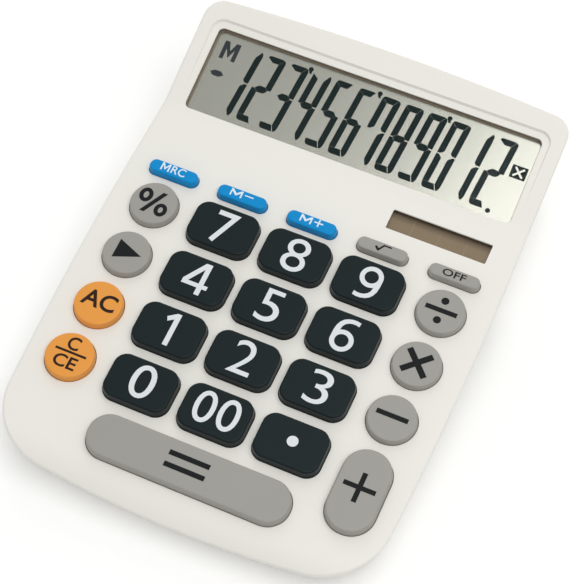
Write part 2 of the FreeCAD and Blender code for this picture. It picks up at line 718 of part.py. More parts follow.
# The hollow's ceiling under the display face runs parallel to the opening's rim.
WINDOW_SLOPE = size("window_slope")
WINDOW_CEILING = size("deck_wall")
WINDOW_CEILING_Z = size("window_lift") - WINDOW_CEILING / cosine(WINDOW_SLOPE)


def on_window_plane(thing):
    """Puts a thing on the plane of the display opening's rim, on the deck's axes."""
    place(thing, ZERO, size("window_y"), size("window_lift"), WINDOW_SLOPE)


def window_to_deck(up, out):
    """A point of the display's own plane as its Y and Z on the deck."""
    y = size("window_y") + up * cosine(WINDOW_SLOPE) - out * sine(WINDOW_SLOPE)
    z = up * sine(WINDOW_SLOPE) + out * cosine(WINDOW_SLOPE) + size("window_lift")
    return y, z


def window_outline(sketch, growth=ZERO):
    """The display opening's outline, grown all round."""
    half_width = size("window_width") / 2 + growth
    draw_rectangle(sketch, -half_width, half_width, -growth, size("window_height") + growth,
                   size("window_corner"))


def make_window_tools():
    """What the display opening takes out of the top case: opening, sunk band and lens seat."""
    opening = new_body("window_opening")
    outline = new_sketch(opening, "window_opening_outline")
    window_outline(outline)
    pad(opening, outline, OPENING_REACH, both_ways=True)
    band = new_body("window_band")
    outline = new_sketch(band, "window_band_outline")
    half_width = size("window_width") / 2 + size("band_width")
    draw_rectangle(outline, -half_width, half_width, -size("band_foot"),
                   size("window_height") + size("band_width"), size("band_corner"))
    pad(band, outline, BAND_REACH, draft=-size("band_flare"))
    seat = new_body("lens_seat")
    outline = new_sketch(seat, "lens_seat_outline", lift=-size("rim_wall"))
    window_outline(outline, size("lens_lip") + SEAT_GAP)
    pad(seat, outline, SEAT_REACH, reverse=True)
    for tool in (opening, band, seat):
        on_window_plane(tool)
    return [opening, band, seat]


def solar_outline(outline, growth=ZERO):
    """The solar opening's rectangle, grown all round."""
    half_width = size("solar_width") / 2 + growth
    half_depth = size("solar_depth") / 2 + growth
    draw_rectangle(outline, -half_width, half_width, -half_depth, half_depth, size("solar_corner"))


SOLAR_SEAT_GAP = as_size(0.15)
SOLAR_SEAT_DEPTH = as_size(3)


def make_solar_tools():
    """The opening over the solar cell and the wider seat under its thin lip."""
    opening = new_body("solar_opening")
    outline = new_sketch(opening, "solar_opening_outline")
    solar_outline(outline)
    pad(opening, outline, OPENING_REACH, both_ways=True)
    seat = new_body("solar_seat")
    outline = new_sketch(seat, "solar_seat_outline", lift=-size("solar_wall"))
    solar_outline(outline, size("solar_margin") + SOLAR_SEAT_GAP)
    pad(seat, outline, SOLAR_SEAT_DEPTH, reverse=True)
    for tool in (opening, seat):
        place(tool, size("solar_x"), size("solar_y"))
    return [opening, seat]


BOARD_POSTS = [(size("column_pitch") / 2, ZERO), (-(size("column_pitch") / 2), ZERO)]
for outer_x in (size("board_post_x"), -size("board_post_x")):
    for outer_y in (size("board_post_y"), -size("board_post_y")):
        BOARD_POSTS.append((outer_x, outer_y))
# Each post of a case screw as its place along X and Y and the height to which it runs into the wall
FRONT_POST_TOP = as_size(-1.2)
REAR_POST_TOP = as_size(-1.2)
CASE_POSTS = [(size("case_post_x"), size("case_post_y"), FRONT_POST_TOP),
              (-size("case_post_x"), size("case_post_y"), FRONT_POST_TOP),
              (size("rear_post_x"), size("rear_post_y"), REAR_POST_TOP),
              (-size("rear_post_x"), size("rear_post_y"), REAR_POST_TOP)]
POST_MEETING = -size("post_meeting")
POST_ROOT = as_size(1)
PILOT_DEPTH = as_size(5)
PILOT_ROOT = as_size(0.3)
HOLE_CLEARANCE = as_size(0.25)
FRAME_TABS = [size("tab_pitch") * step for step in (-1.5, -0.5, 0.5, 1.5)]
TAB_Y = as_size(-4.9)
TAB_REACH = as_size(1.9)
TAB_HALF_WIDTH = as_size(3)
TAB_THICKNESS = as_size(1.2)


def make_top_case():
    """The upper shell with its openings, the posts for the board, the frame and the case screws."""
    shell = cut("top_shell", make_deck_block(), make_deck_hollow())
    posts = []
    pilots = []
    for number, (x, y) in enumerate(BOARD_POSTS):
        low = -size("board_depth")
        length = size("board_depth") - POST_ROOT
        posts.append(cylinder("board_post_%d" % number, size("post_radius"), length, x, y, low))
        pilots.append(cylinder("board_pilot_%d" % number, size("pilot_radius"), length - POST_ROOT, x, y, low))
    for number, (x, y, top) in enumerate(CASE_POSTS):
        posts.append(cylinder("case_post_%d" % number, size("case_post_radius"), top - POST_MEETING,
                              x, y, POST_MEETING))
        pilots.append(cylinder("case_pilot_%d" % number, size("case_pilot_radius"), PILOT_DEPTH,
                               x, y, POST_MEETING))
    y, z = window_to_deck(TAB_Y, FRAME_PLATE_TOP)
    for number, x in enumerate(FRAME_TABS):
        posts.append(cylinder("frame_post_%d" % number, size("post_radius"), FRAME_POST_LENGTH,
                              x, y, z, WINDOW_SLOPE))
        pilots.append(cylinder("frame_pilot_%d" % number, size("pilot_radius"),
                               FRAME_POST_LENGTH - PILOT_ROOT, x, y, z, WINDOW_SLOPE))
    body = fuse("top_shell_with_posts", [shell] + posts)
    tools = make_window_tools() + make_solar_tools() + pilots
    for name, plan, x, y in KEYS:
        tools.append(opening_tool(name + "_opening", plan, x, y))
    case = cut("top_case", body, fuse("top_case_openings", tools))
    place_on_deck(case)
    finish(case, "top_case")


# Depths under the plane of the opening's rim, of the layers behind it
TAPE_TOP = -size("rim_wall")
LENS_LIP_TOP = TAPE_TOP - size("tape_thickness")
FRAME_TOP = LENS_LIP_TOP - size("lens_lip_thickness")
FILM_TOP = FRAME_TOP - size("frame_height")
GLASS_TOP = FILM_TOP - size("film_thickness")
REFLECTOR_TOP = GLASS_TOP - size("glass_thickness")
FRAME_BOTTOM = REFLECTOR_TOP - size("film_thickness") - size("frame_floor")
FRAME_PLATE_TOP = -(WINDOW_CEILING + 0.1)
FRAME_POST_LENGTH = as_size(2)

make_top_case()


# The display

def place_in_display(thing):
    """Puts a thing made on the plane of the display opening's rim in its place on the deck."""
    place_on_deck(thing, ZERO, size("window_y"), size("window_lift"), WINDOW_SLOPE)


def make_display_window():
    """The moulded lens: a plate that fills the opening, with a lip behind the wall."""
    body = new_body("display_window")
    plate = new_sketch(body, "window_plate", lift=-size("lens_sink"))
    window_outline(plate, -size("lens_gap"))
    pad(body, plate, -LENS_LIP_TOP - size("lens_sink"), reverse=True)
    lip = new_sketch(body, "window_lip", lift=LENS_LIP_TOP)
    window_outline(lip, size("lens_lip"))
    pad(body, lip, size("lens_lip_thickness"), reverse=True)
    place_in_display(body)
    finish(body, "display_window")


TAPE_SETBACK = as_size(0.05)
COLLAR_SETBACK = as_size(0.1)
GLASS_CLEARANCE = as_size(0.1)
ROOM_CORNER = as_size(0.4)
TAB_CORNER = as_size(1)
SLOT_MARGIN = as_size(1)
SLOT_RISE = as_size(0.5)
SLOT_DEPTH = as_size(4)


def make_window_tape():
    """The thin adhesive frame between the lens's lip and the wall."""
    body = new_body("window_tape")
    outline = new_sketch(body, "tape_outline", lift=TAPE_TOP)
    window_outline(outline, size("lens_lip"))
    pad(body, outline, size("tape_thickness"), reverse=True)
    inside = new_sketch(body, "tape_inside", lift=TAPE_TOP)
    window_outline(inside, TAPE_SETBACK)
    pocket(body, inside, size("tape_thickness"))
    place_in_display(body)
    finish(body, "window_tape")


def make_display_frame():
    """The dark tray that holds the glass: a collar that meets the lens, and screw tabs."""
    body = new_body("display_frame")
    middle = size("glass_y")
    half_width = size("frame_width") / 2
    half_length = size("frame_length") / 2
    tray = new_sketch(body, "frame_tray", lift=FRAME_PLATE_TOP)
    draw_rectangle(tray, -half_width, half_width, middle - half_length, middle + half_length,
                   size("frame_corner"))
    pad(body, tray, FRAME_PLATE_TOP - FRAME_BOTTOM, reverse=True)
    for number, x in enumerate(FRAME_TABS):
        tab = new_sketch(body, "frame_tab_%d" % number, lift=FRAME_PLATE_TOP)
        draw_rectangle(tab, x - TAB_HALF_WIDTH, x + TAB_HALF_WIDTH, TAB_Y - TAB_REACH,
                       middle - half_length + 1, TAB_CORNER)
        pad(body, tab, TAB_THICKNESS, reverse=True)
    collar = new_sketch(body, "frame_collar", lift=FRAME_PLATE_TOP)
    window_outline(collar, size("lens_lip") - COLLAR_SETBACK)
    pad(body, collar, FRAME_TOP - FRAME_PLATE_TOP)
    sight = new_sketch(body, "frame_sight", lift=FRAME_TOP)
    window_outline(sight, -size("frame_rim"))
    pocket(body, sight, size("frame_height") + TAPE_SETBACK)
    glass_room = new_sketch(body, "frame_glass_room", lift=FILM_TOP)
    half_glass = size("glass_width") / 2 + GLASS_CLEARANCE
    half_height = size("glass_height") / 2 + GLASS_CLEARANCE
    draw_rectangle(glass_room, -half_glass, half_glass, middle - half_height, middle + half_height,
                   ROOM_CORNER)
    pocket(body, glass_room, FILM_TOP - REFLECTOR_TOP + size("film_thickness"))
    slot = new_sketch(body, "frame_ribbon_slot", lift=REFLECTOR_TOP + SLOT_RISE)
    slot_half_width = RIBBON_HALF_WIDTH + SLOT_MARGIN
    draw_rectangle(slot, -slot_half_width, slot_half_width, middle - half_length - SLOT_MARGIN,
                   RIBBON_LAND_Y + SLOT_MARGIN, ROOM_CORNER)
    pocket(body, slot, SLOT_DEPTH)
    for number, x in enumerate(FRAME_TABS):
        hole = new_sketch(body, "frame_hole_%d" % number, lift=FRAME_PLATE_TOP)
        draw_circle(hole, size("pilot_radius") + HOLE_CLEARANCE, x, TAB_Y)
        pocket(body, hole, TAB_THICKNESS)
    place_in_display(body)
    finish(body, "display_frame")


RIBBON_HALF_WIDTH = as_size(37)
RIBBON_LAND_Y = as_size(0.5)
FILM_SETBACK = as_size(0.7)
FILM_START = as_size(-1.2)
REFLECTOR_START = as_size(1.8)
LAYER_CORNER = as_size(0.3)


def make_display_layer(name, width, bottom, top, layer_top, thickness):
    """One flat layer of the display stack."""
    body = new_body(name)
    outline = new_sketch(body, name + "_outline", lift=layer_top)
    draw_rectangle(outline, -(width / 2), width / 2, bottom, top, LAYER_CORNER)
    pad(body, outline, thickness, reverse=True)
    place_in_display(body)
    finish(body, name)


def make_display_layers():
    """The polariser, the pair of glasses and the reflector behind them."""
    width = size("glass_width")
    middle = size("glass_y")
    half_height = size("glass_height") / 2
    film_width = width - FILM_SETBACK * 2
    film_end = middle + half_height - FILM_SETBACK
    make_display_layer("lcd_polariser", film_width, FILM_START, film_end, FILM_TOP,
                       size("film_thickness"))
    make_display_layer("lcd_glass", width, middle - half_height, middle + half_height, GLASS_TOP,
                       size("glass_thickness"))
    make_display_layer("lcd_reflector", film_width, REFLECTOR_START, film_end, REFLECTOR_TOP,
                       size("film_thickness"))


make_display_window()
make_window_tape()
make_display_frame()
make_display_layers()


# The solar window

def make_solar_layer(name, growth, top, thickness):
    """A flat piece behind the solar opening."""
    body = new_body(name)
    outline = new_sketch(body, name + "_outline", lift=top)
    solar_outline(outline, growth)
    pad(body, outline, thickness, reverse=True)
    place_on_deck(body, size("solar_x"), size("solar_y"))
    finish(body, name)


SOLAR_COVER_TOP = -size("solar_wall")
SOLAR_CELL_TOP = SOLAR_COVER_TOP - size("solar_thickness")
SOLAR_CELL_SETBACK = as_size(0.3)
make_solar_layer("solar_window", size("solar_margin"), SOLAR_COVER_TOP, size("solar_thickness"))
make_solar_layer("solar_cell", size("solar_margin") - SOLAR_CELL_SETBACK, SOLAR_CELL_TOP,
                 size("solar_thickness"))


# The circuit board, its parts and the key mat

BOARD_TOP = -size("board_depth")
BOARD_BOTTOM = BOARD_TOP - size("board_thickness")
DOME_TOP = LIP_TOP - size("lip_thickness") - size("plunger_length")


def draw_board(sketch, rear_y):
    """The outline of board and mat, whose front corners are bevelled to clear the case screws."""
    side = size("board_half_width")
    front = size("board_front_y")
    bevel = size("board_bevel")
    draw_polygon(sketch, [(bevel - side, front), (side - bevel, front), (side, front + bevel),
                          (side, rear_y), (-side, rear_y), (-side, front + bevel)])


def make_main_board():
    """The circuit board, with a hole for each of its screws."""
    body = new_body("main_board")
    outline = new_sketch(body, "board_outline", lift=BOARD_TOP)
    draw_board(outline, size("board_rear_y"))
    pad(body, outline, size("board_thickness"), reverse=True)
    for number, (x, y) in enumerate(BOARD_POSTS):
        hole = new_sketch(body, "board_hole_%d" % number, lift=BOARD_TOP)
        draw_circle(hole, size("pilot_radius") + HOLE_CLEARANCE, x, y)
        pocket(body, hole, size("board_thickness"))
    place_on_deck(body)
    finish(body, "main_board")


def make_key_mat():
    """The silicone sheet: a hollow dome under each key, and holes for the board's posts."""
    body = new_body("key_mat_sheet")
    outline = new_sketch(body, "mat_outline", lift=BOARD_TOP)
    draw_board(outline, size("mat_rear_y"))
    pad(body, outline, size("mat_thickness"))
    domes = []
    hollows = []
    dome_height = DOME_TOP - BOARD_TOP
    for name, plan, x, y in KEYS:
        dome = doc.addObject("Part::Cone", name + "_dome")
        dome.setExpression("Radius1", size("dome_radius").formula)
        dome.setExpression("Radius2", size("dome_top_radius").formula)
        dome.setExpression("Height", dome_height.formula)
        place(dome, x, y, BOARD_TOP)
        domes.append(dome)
        hollow = doc.addObject("Part::Cone", name + "_dome_hollow")
        hollow.setExpression("Radius1", (size("dome_radius") - size("dome_wall")).formula)
        hollow.setExpression("Radius2", (size("dome_top_radius") - size("dome_wall")).formula)
        hollow.setExpression("Height", (dome_height - size("dome_wall")).formula)
        place(hollow, x, y, BOARD_TOP)
        hollows.append(hollow)
    for number, (x, y) in enumerate(BOARD_POSTS):
        hollows.append(cylinder("mat_hole_%d" % number, size("post_radius") + HOLE_CLEARANCE,
                                size("mat_thickness") + 2, x, y, BOARD_TOP - 1))
    mat = cut("key_mat", fuse("key_mat_with_domes", [body] + domes), fuse("key_mat_holes", hollows))
    place_on_deck(mat)
    finish(mat, "key_mat")


CHIP_X = as_size(6)
CHIP_Y = as_size(20)
CHIP_RADIUS = as_size(7)
CHIP_TOP_RADIUS = as_size(5.2)
CHIP_HEIGHT = as_size(1.2)
CHIP_ROUNDING = 0.8


def make_chip_cover():
    """The blob of black resin over the chip, on the underside of the board."""
    blob = doc.addObject("Part::Cone", "chip_cover_cone")
    blob.setExpression("Radius1", CHIP_RADIUS.formula)
    blob.setExpression("Radius2", CHIP_TOP_RADIUS.formula)
    blob.setExpression("Height", CHIP_HEIGHT.formula)
    rounded = doc.addObject("Part::Fillet", "chip_cover")
    rounded.Base = blob
    doc.recompute()
    is_top = level_edge(CHIP_HEIGHT.number)
    top_edge = [index for index, edge in enumerate(blob.Shape.Edges, 1) if is_top(edge)][0]
    rounded.Edges = [(top_edge, CHIP_ROUNDING, CHIP_ROUNDING)]
    place_on_deck(rounded, CHIP_X, CHIP_Y, BOARD_BOTTOM, as_size(180))
    finish(rounded, "chip_cover")


def make_chip_parts(name, extent, places):
    """A group of small like parts soldered to the underside of the board."""
    length, depth, height = extent
    parts = []
    for number, (x, y) in enumerate(places):
        left = as_size(x) - length / 2
        front = as_size(y) - depth / 2
        parts.append(block("%s_%d" % (name, number), left, left + length, front, front + depth,
                           BOARD_BOTTOM - height, BOARD_BOTTOM))
    group = doc.addObject("Part::Compound", name)
    group.Links = parts
    place_on_deck(group)
    finish(group, name)


# Length, depth and height of one, and the places of all, in mm on the deck
CAPACITOR_SIZE = [as_size(3.2), as_size(1.6), as_size(1.5)]
CAPACITOR_PLACES = [(-22, 30), (-16, 30), (24, 8), (30, 34)]
RESISTOR_SIZE = [as_size(1.25), as_size(2), as_size(0.6)]
RESISTOR_PLACES = [(-30, 14), (-30, 18), (-30, 22), (18, 33), (22, 33), (26, 14)]

make_main_board()
make_key_mat()
make_chip_cover()
make_chip_parts("capacitors", CAPACITOR_SIZE, CAPACITOR_PLACES)
make_chip_parts("resistors", RESISTOR_SIZE, RESISTOR_PLACES)


# The ribbon and the wires

# The ribbon's thickness, the gap that keeps it free of glass and board, where it leaves the glass,
# where it turns down to the board and how far over the board it reaches
RIBBON_THICKNESS = as_size(0.15)
SOLDER_GAP = as_size(0.05)
RIBBON_EDGE = as_size(0.3)
RIBBON_TURN_Y = as_size(51.6)
RIBBON_END_Y = as_size(46)


def make_display_ribbon():
    """The printed film from the lower edge of the glass down to the board."""
    body = new_body("display_ribbon")
    profile = new_sketch(body, "ribbon_profile", "YZ_Plane")
    low_edge = size("glass_y") - size("glass_height") / 2
    glass_back = REFLECTOR_TOP - SOLDER_GAP
    start_y, start_z = window_to_deck(RIBBON_LAND_Y, glass_back)
    edge_y, edge_z = window_to_deck(low_edge + RIBBON_EDGE, glass_back)
    board_z = BOARD_TOP + SOLDER_GAP
    step = RIBBON_THICKNESS
    lower_start_y, lower_start_z = window_to_deck(RIBBON_LAND_Y, glass_back - step)
    lower_edge_y, lower_edge_z = window_to_deck(low_edge + RIBBON_EDGE, glass_back - step)
    draw_polygon(profile, [(RIBBON_END_Y, board_z), (RIBBON_TURN_Y, board_z),
                           (lower_edge_y, lower_edge_z), (lower_start_y, lower_start_z),
                           (start_y, start_z), (edge_y, edge_z),
                           (RIBBON_TURN_Y - 0.05, board_z + step), (RIBBON_END_Y, board_z + step)])
    pad(body, profile, RIBBON_HALF_WIDTH * 2, both_ways=True)
    place_on_deck(body)
    finish(body, "display_ribbon")


make_display_ribbon()


def wire_shape(route, radius, bend):
    """A round wire along straight runs joined by arcs."""
    points = [FreeCAD.Vector(*point) for point in route]
    edges = []
    start = points[0]
    for before, corner, after in zip(points, points[1:], points[2:]):
        inward = (before - corner).normalize()
        outward = (after - corner).normalize()
        turn = math.pi - inward.getAngle(outward)
        reach = bend * math.tan(turn / 2)
        first = corner + inward * reach
        last = corner + outward * reach
        centre_line = (inward + outward).normalize()
        centre = corner + centre_line * (bend / math.cos(turn / 2))
        middle = centre - centre_line * bend
        edges.append(Part.LineSegment(start, first).toShape())
        edges.append(Part.Arc(first, middle, last).toShape())
        start = last
    edges.append(Part.LineSegment(start, points[-1]).toShape())
    path = Part.Wire(edges)
    ring = Part.Wire(Part.Circle(points[0], points[1] - points[0], radius).toShape())
    return path.makePipeShell([ring], True, False)


def make_wires(name, routes, radius, bend):
    """A group of wires, set as a shape because their routes bend in space."""
    wires = doc.addObject("Part::Feature", name)
    wires.Shape = Part.makeCompound([wire_shape(route, radius, bend) for route in routes])
    return wires


SOLAR_LEAD_PLACES = (45.5, 48.5)
SOLAR_LEAD_DROP = 1.1
SOLAR_LEAD_RUN = 5
SOLAR_LEAD_RADIUS = 0.35
SOLAR_LEAD_BEND = 0.5


def make_solar_leads():
    """The two wires from the back of the solar cell to the board."""
    cell_back = (SOLAR_CELL_TOP - size("solar_thickness") - SOLDER_GAP).number
    run_level = cell_back - SOLAR_LEAD_DROP
    board_face = (BOARD_TOP + SOLDER_GAP).number
    start_y = size("solar_y").number
    end_y = start_y - SOLAR_LEAD_RUN
    routes = []
    for x in SOLAR_LEAD_PLACES:
        routes.append([(x, start_y, cell_back), (x, start_y, run_level), (x, end_y, run_level),
                       (x, end_y, board_face)])
    leads = make_wires("solar_leads", routes, SOLAR_LEAD_RADIUS, SOLAR_LEAD_BEND)
    place_on_deck(leads)
    finish(leads, "solar_leads")


make_solar_leads()


# The bottom case

UNDERSIDE = size("foot_height")
STAND_REACH = as_size(22.5)
WELL_FLOOR = as_size(0.5)


def underside_z(y):
    """The height on the deck's axes of a plane parallel to the table, at a place along the deck."""
    return (UNDERSIDE - DECK_Z - y * sine(DECK_TILT)) / cosine(DECK_TILT)


def make_lower_solid(name, inset, floor, top):
    """The lower half of the case as a solid, or its hollow when inset by a wall."""
    rear_bend = size("lower_rear_corner") - inset / 2
    slab = new_body(name + "_slab")
    pad_case_plan(slab, top, top + size("slab_depth") - floor, size("slab_lean"), rear_bend, inset, True)
    stand = new_body(name + "_stand")
    pad_case_plan(stand, top, top - PARTING + STAND_REACH, size("stand_lean"), rear_bend, inset, True)
    profile = new_sketch(stand, name + "_stand_profile", "YZ_Plane")
    stand_y = size("stand_y") + inset
    foot_y = stand_y + size("stand_run")
    shoulder = -size("slab_depth") + floor
    high = top + 1
    low = PARTING - STAND_REACH - 1
    draw_polygon(profile, [(FAR_FRONT, high), (stand_y, high), (stand_y, shoulder),
                           (foot_y, underside_z(foot_y) + floor),
                           (FAR_BACK, underside_z(FAR_BACK) + floor), (FAR_BACK, low),
                           (FAR_FRONT, low)])
    pocket(stand, profile, FAR_WIDTH, both_ways=True)
    if floor.number == 0:
        def lower_rim(edge):
            box = edge.BoundBox
            return box.ZMax < -size("slab_depth").number - 1 and box.YMin > foot_y.number - 0.01
        round_edges(stand, size("base_radius"), lower_rim)
        round_edges(slab, size("base_radius"), level_edge(-size("slab_depth").number))
    return fuse(name, [slab, stand])


def make_parting_neck():
    """The narrower upper edge of the lower shell, which leaves a groove between the shells."""
    neck = new_body("parting_neck")
    plan = new_sketch(neck, "parting_neck_plan", lift=PARTING - size("groove_height"))
    depth = size("groove_depth")
    draw_case_plan(plan, -depth, size("lower_rear_corner") - depth)
    pad(neck, plan, size("groove_height"))
    return neck


def make_bottom_case():
    """The lower shell, with wells and posts for the case screws, the battery bay and its door's seat."""
    lower_block = make_lower_solid("lower_block", ZERO, ZERO, PARTING - size("groove_height"))
    outside = fuse("lower_block_with_neck", [lower_block, make_parting_neck()])
    inside = make_lower_solid("lower_hollow", WALL, WALL, PARTING + 1)
    shell = cut("bottom_shell", outside, inside)
    posts = []
    wells = []
    for number, (x, y, top) in enumerate(CASE_POSTS):
        floor = underside_z(y) if y.number > size("stand_y").number else -size("slab_depth")
        low = floor + WELL_FLOOR
        posts.append(cylinder("screw_post_%d" % number, size("well_radius") + size("well_wall"),
                              POST_MEETING - low, x, y, low))
        wells.append(cylinder("screw_well_%d" % number, size("well_radius"),
                              -size("seat_depth") - floor + 2, x, y, floor - 2))
        wells.append(cylinder("screw_hole_%d" % number, size("case_pilot_radius") + 0.2,
                              size("seat_depth"), x, y, -size("seat_depth") - 1))
    trimmed = doc.addObject("Part::MultiCommon", "posts_inside_the_case")
    trimmed.Shapes = [fuse("screw_posts", posts), outside]
    shell_with_posts = fuse("bottom_shell_with_posts", [shell, trimmed])
    drilled = cut("bottom_shell_drilled", shell_with_posts, fuse("screw_wells", wells))
    place_on_deck(drilled)
    bay_half = size("bay_length") / 2
    bay_deep = size("cell_radius") + size("bay_clearance")
    bay_wall = size("bay_wall")
    front = size("bay_y") - bay_deep
    back = size("bay_y") + bay_deep
    bay = block("bay_outside", -bay_half - bay_wall, bay_half + bay_wall, front - bay_wall,
                back + bay_wall, UNDERSIDE + WELL_FLOOR, BAY_ROOF + bay_wall)
    bay_room = block("bay_inside", -bay_half, bay_half, front, back, UNDERSIDE - 1, BAY_ROOF)
    half_door = size("door_width") / 2
    gap = size("door_gap")
    seat_top = UNDERSIDE + size("door_thickness") + gap
    rail_half = half_door + RAIL_WIDTH
    groove_half = half_door + DOOR_TONGUE + gap
    far_rear = REAR_FACE_Y + 10
    rail = block("door_seat_plate", -rail_half, rail_half, size("door_front_y") - RAIL_FRONT,
                 REAR_FACE_Y - 1, UNDERSIDE + WELL_FLOOR, seat_top + RAIL_ROOF)
    seat = block("door_seat", -half_door - gap, half_door + gap, size("door_front_y") - gap,
                 far_rear, UNDERSIDE - 1, seat_top)
    grooves = block("door_grooves", -groove_half, groove_half,
                    size("door_front_y") + TONGUE_START - TONGUE_CLEARANCE, far_rear,
                    TONGUE_LOW - LIFT_CLEARANCE, seat_top)
    with_bay = fuse("bottom_case_with_bay", [drilled, bay, rail])
    tools = [bay_room, seat, grooves]
    for number, (x, y, top) in enumerate(FEET):
        tools.append(cylinder("foot_recess_%d" % number, size("foot_radius") + LIFT_CLEARANCE,
                              FOOT_TOOL, x, y, top - FOOT_TOOL))
    for number, x in enumerate((LEAD_X, -LEAD_X)):
        tools.append(block("lead_slot_%d" % number, x - LEAD_SLOT, x + LEAD_SLOT - 0.1,
                           front - bay_wall * 2, front + bay_wall, LEAD_LEVEL - LEAD_SLOT,
                           LEAD_LEVEL + LEAD_SLOT))
    tools = fuse("bottom_case_openings", tools)
    case = cut("bottom_case", with_bay, tools)
    finish(case, "bottom_case")


CELL_LIFT = as_size(0.3)
CELL_Z = (UNDERSIDE + size("door_thickness") + size("bay_clearance") + size("cell_radius")
          + CELL_LIFT)
BAY_ROOF = CELL_Z + size("cell_radius") + size("bay_clearance")
REAR_DEPTH = underside_z(size("rear_y"))
REAR_EDGE = size("rear_y") + (REAR_DEPTH - PARTING) * tangent(size("stand_lean"))
REAR_FACE_Y = DECK_Y + REAR_EDGE * cosine(DECK_TILT) - REAR_DEPTH * sine(DECK_TILT)
LEAD_LEVEL = as_size(12.2)
LEAD_X = size("bay_length") / 2 - 0.7
LEAD_SLOT = as_size(0.8)
CONTACT_WIDTH = as_size(9)

# The door's tongues and the rails of the bottom case in which they run
DOOR_TONGUE = as_size(1)
TONGUE_LOW = UNDERSIDE + 0.8
TONGUE_START = as_size(2.5)
TONGUE_CLEARANCE = as_size(0.5)
LIFT_CLEARANCE = as_size(0.1)
RAIL_WIDTH = as_size(4)
RAIL_FRONT = as_size(3)
RAIL_ROOF = as_size(1.35)

FRONT_FOOT_ROW_Y = (DECK_Y + FRONT_FOOT_Y * cosine(DECK_TILT)
                    + size("slab_depth") * sine(DECK_TILT))
REAR_FOOT_TOP = UNDERSIDE + size("foot_recess")
FRONT_FOOT_TOP = REAR_FOOT_TOP + size("foot_radius") * sine(DECK_TILT)
FOOT_TOOL = as_size(6)
FOOT_ROUNDING = 0.5
FEET = [(size("rear_foot_x"), size("rear_foot_y"), REAR_FOOT_TOP),
        (-size("rear_foot_x"), size("rear_foot_y"), REAR_FOOT_TOP),
        (size("front_foot_x"), FRONT_FOOT_ROW_Y, FRONT_FOOT_TOP),
        (-size("front_foot_x"), FRONT_FOOT_ROW_Y, FRONT_FOOT_TOP)]

make_bottom_case()


# The battery, its contacts, wires and door

BUTTON_RADIUS = as_size(2.6)
BUTTON_HEIGHT = as_size(1.2)


def make_battery_cell():
    """A cylindrical cell with its button."""
    half = size("cell_length") / 2
    can = cylinder("cell_can", size("cell_radius"), size("cell_length"))
    button = cylinder("cell_button", BUTTON_RADIUS, BUTTON_HEIGHT, z=size("cell_length"))
    cell = fuse("battery_cell", [can, button])
    cell.Placement = FreeCAD.Placement(
        FreeCAD.Vector(-half.number, size("bay_y").number, CELL_Z.number),
        FreeCAD.Rotation(FreeCAD.Vector(0, 1, 0), 90))
    cell.setExpression("Placement.Base.x", (-half).formula)
    cell.setExpression("Placement.Base.y", size("bay_y").formula)
    cell.setExpression("Placement.Base.z", CELL_Z.formula)
    finish(cell, "battery_cell")


# The spring plates: thickness, gap to the bay's wall, height over the door, reach of the spring's
# bend and half the flat nose that meets the battery
PLATE = as_size(0.4)
PLATE_GAP = as_size(0.1)
PLATE_LIFT = as_size(0.8)
PLATE_HEADROOM = as_size(0.2)
SPRING_REACH = as_size(4.5)
NOSE_HALF = as_size(1)


def make_contact(name, side, bow):
    """A spring plate at one end of the bay; its middle is bowed out to the battery."""
    body = new_body(name)
    profile = new_sketch(body, name + "_profile", "XZ_Plane")
    wall_x = size("bay_length") / 2 - PLATE_GAP
    face_x = wall_x - PLATE
    low = UNDERSIDE + size("door_thickness") + PLATE_LIFT
    high = BAY_ROOF - PLATE_HEADROOM
    nose_x = wall_x - bow
    corners = [(wall_x, low), (wall_x, high), (face_x, high), (face_x, CELL_Z + SPRING_REACH),
               (nose_x, CELL_Z + NOSE_HALF), (nose_x, CELL_Z - NOSE_HALF),
               (face_x, CELL_Z - SPRING_REACH), (face_x, low)]
    draw_polygon(profile, [(across * side, up) for across, up in corners])
    pad(body, profile, CONTACT_WIDTH, both_ways=True)
    place(body, ZERO, size("bay_y"), ZERO)
    finish(body, name)


BATTERY_LEAD_RADIUS = 0.5
BATTERY_LEAD_BEND = 1
BATTERY_LEAD_LANDING = 3.5


def make_battery_leads():
    """The two wires from the contacts, out of the bay and along to the board."""
    level = LEAD_LEVEL.number
    start_y = (size("bay_y") - CONTACT_WIDTH / 2 - SOLDER_GAP).number
    board_y = (DECK_Y + size("board_rear_y") * cosine(DECK_TILT)).number - BATTERY_LEAD_LANDING
    board_z = board_underside(board_y) - SOLDER_GAP.number
    routes = []
    for side in (-1, 1):
        x = side * LEAD_X.number
        routes.append([(x, start_y, level), (x, board_y, level), (x, board_y, board_z)])
    leads = make_wires("battery_leads", routes, BATTERY_LEAD_RADIUS, BATTERY_LEAD_BEND)
    finish(leads, "battery_leads")


def board_underside(row_y_place):
    """The height of the board's underside at a place along the row's Y."""
    along = row_y_place - DECK_Y.number
    slope = math.radians(DECK_TILT.number)
    return DECK_Z.number + along * math.tan(slope) + BOARD_BOTTOM.number / math.cos(slope)


DOOR_CORNER = as_size(1)
DOOR_SETBACK = as_size(0.4)
TONGUE_END = as_size(6)
GRIP_COUNT = 5
GRIP_PITCH = 1.6
GRIP_HALF_LENGTH = as_size(9)
GRIP_WIDTH = as_size(0.8)
GRIP_DEPTH = as_size(0.5)
GRIP_INSET = as_size(5)


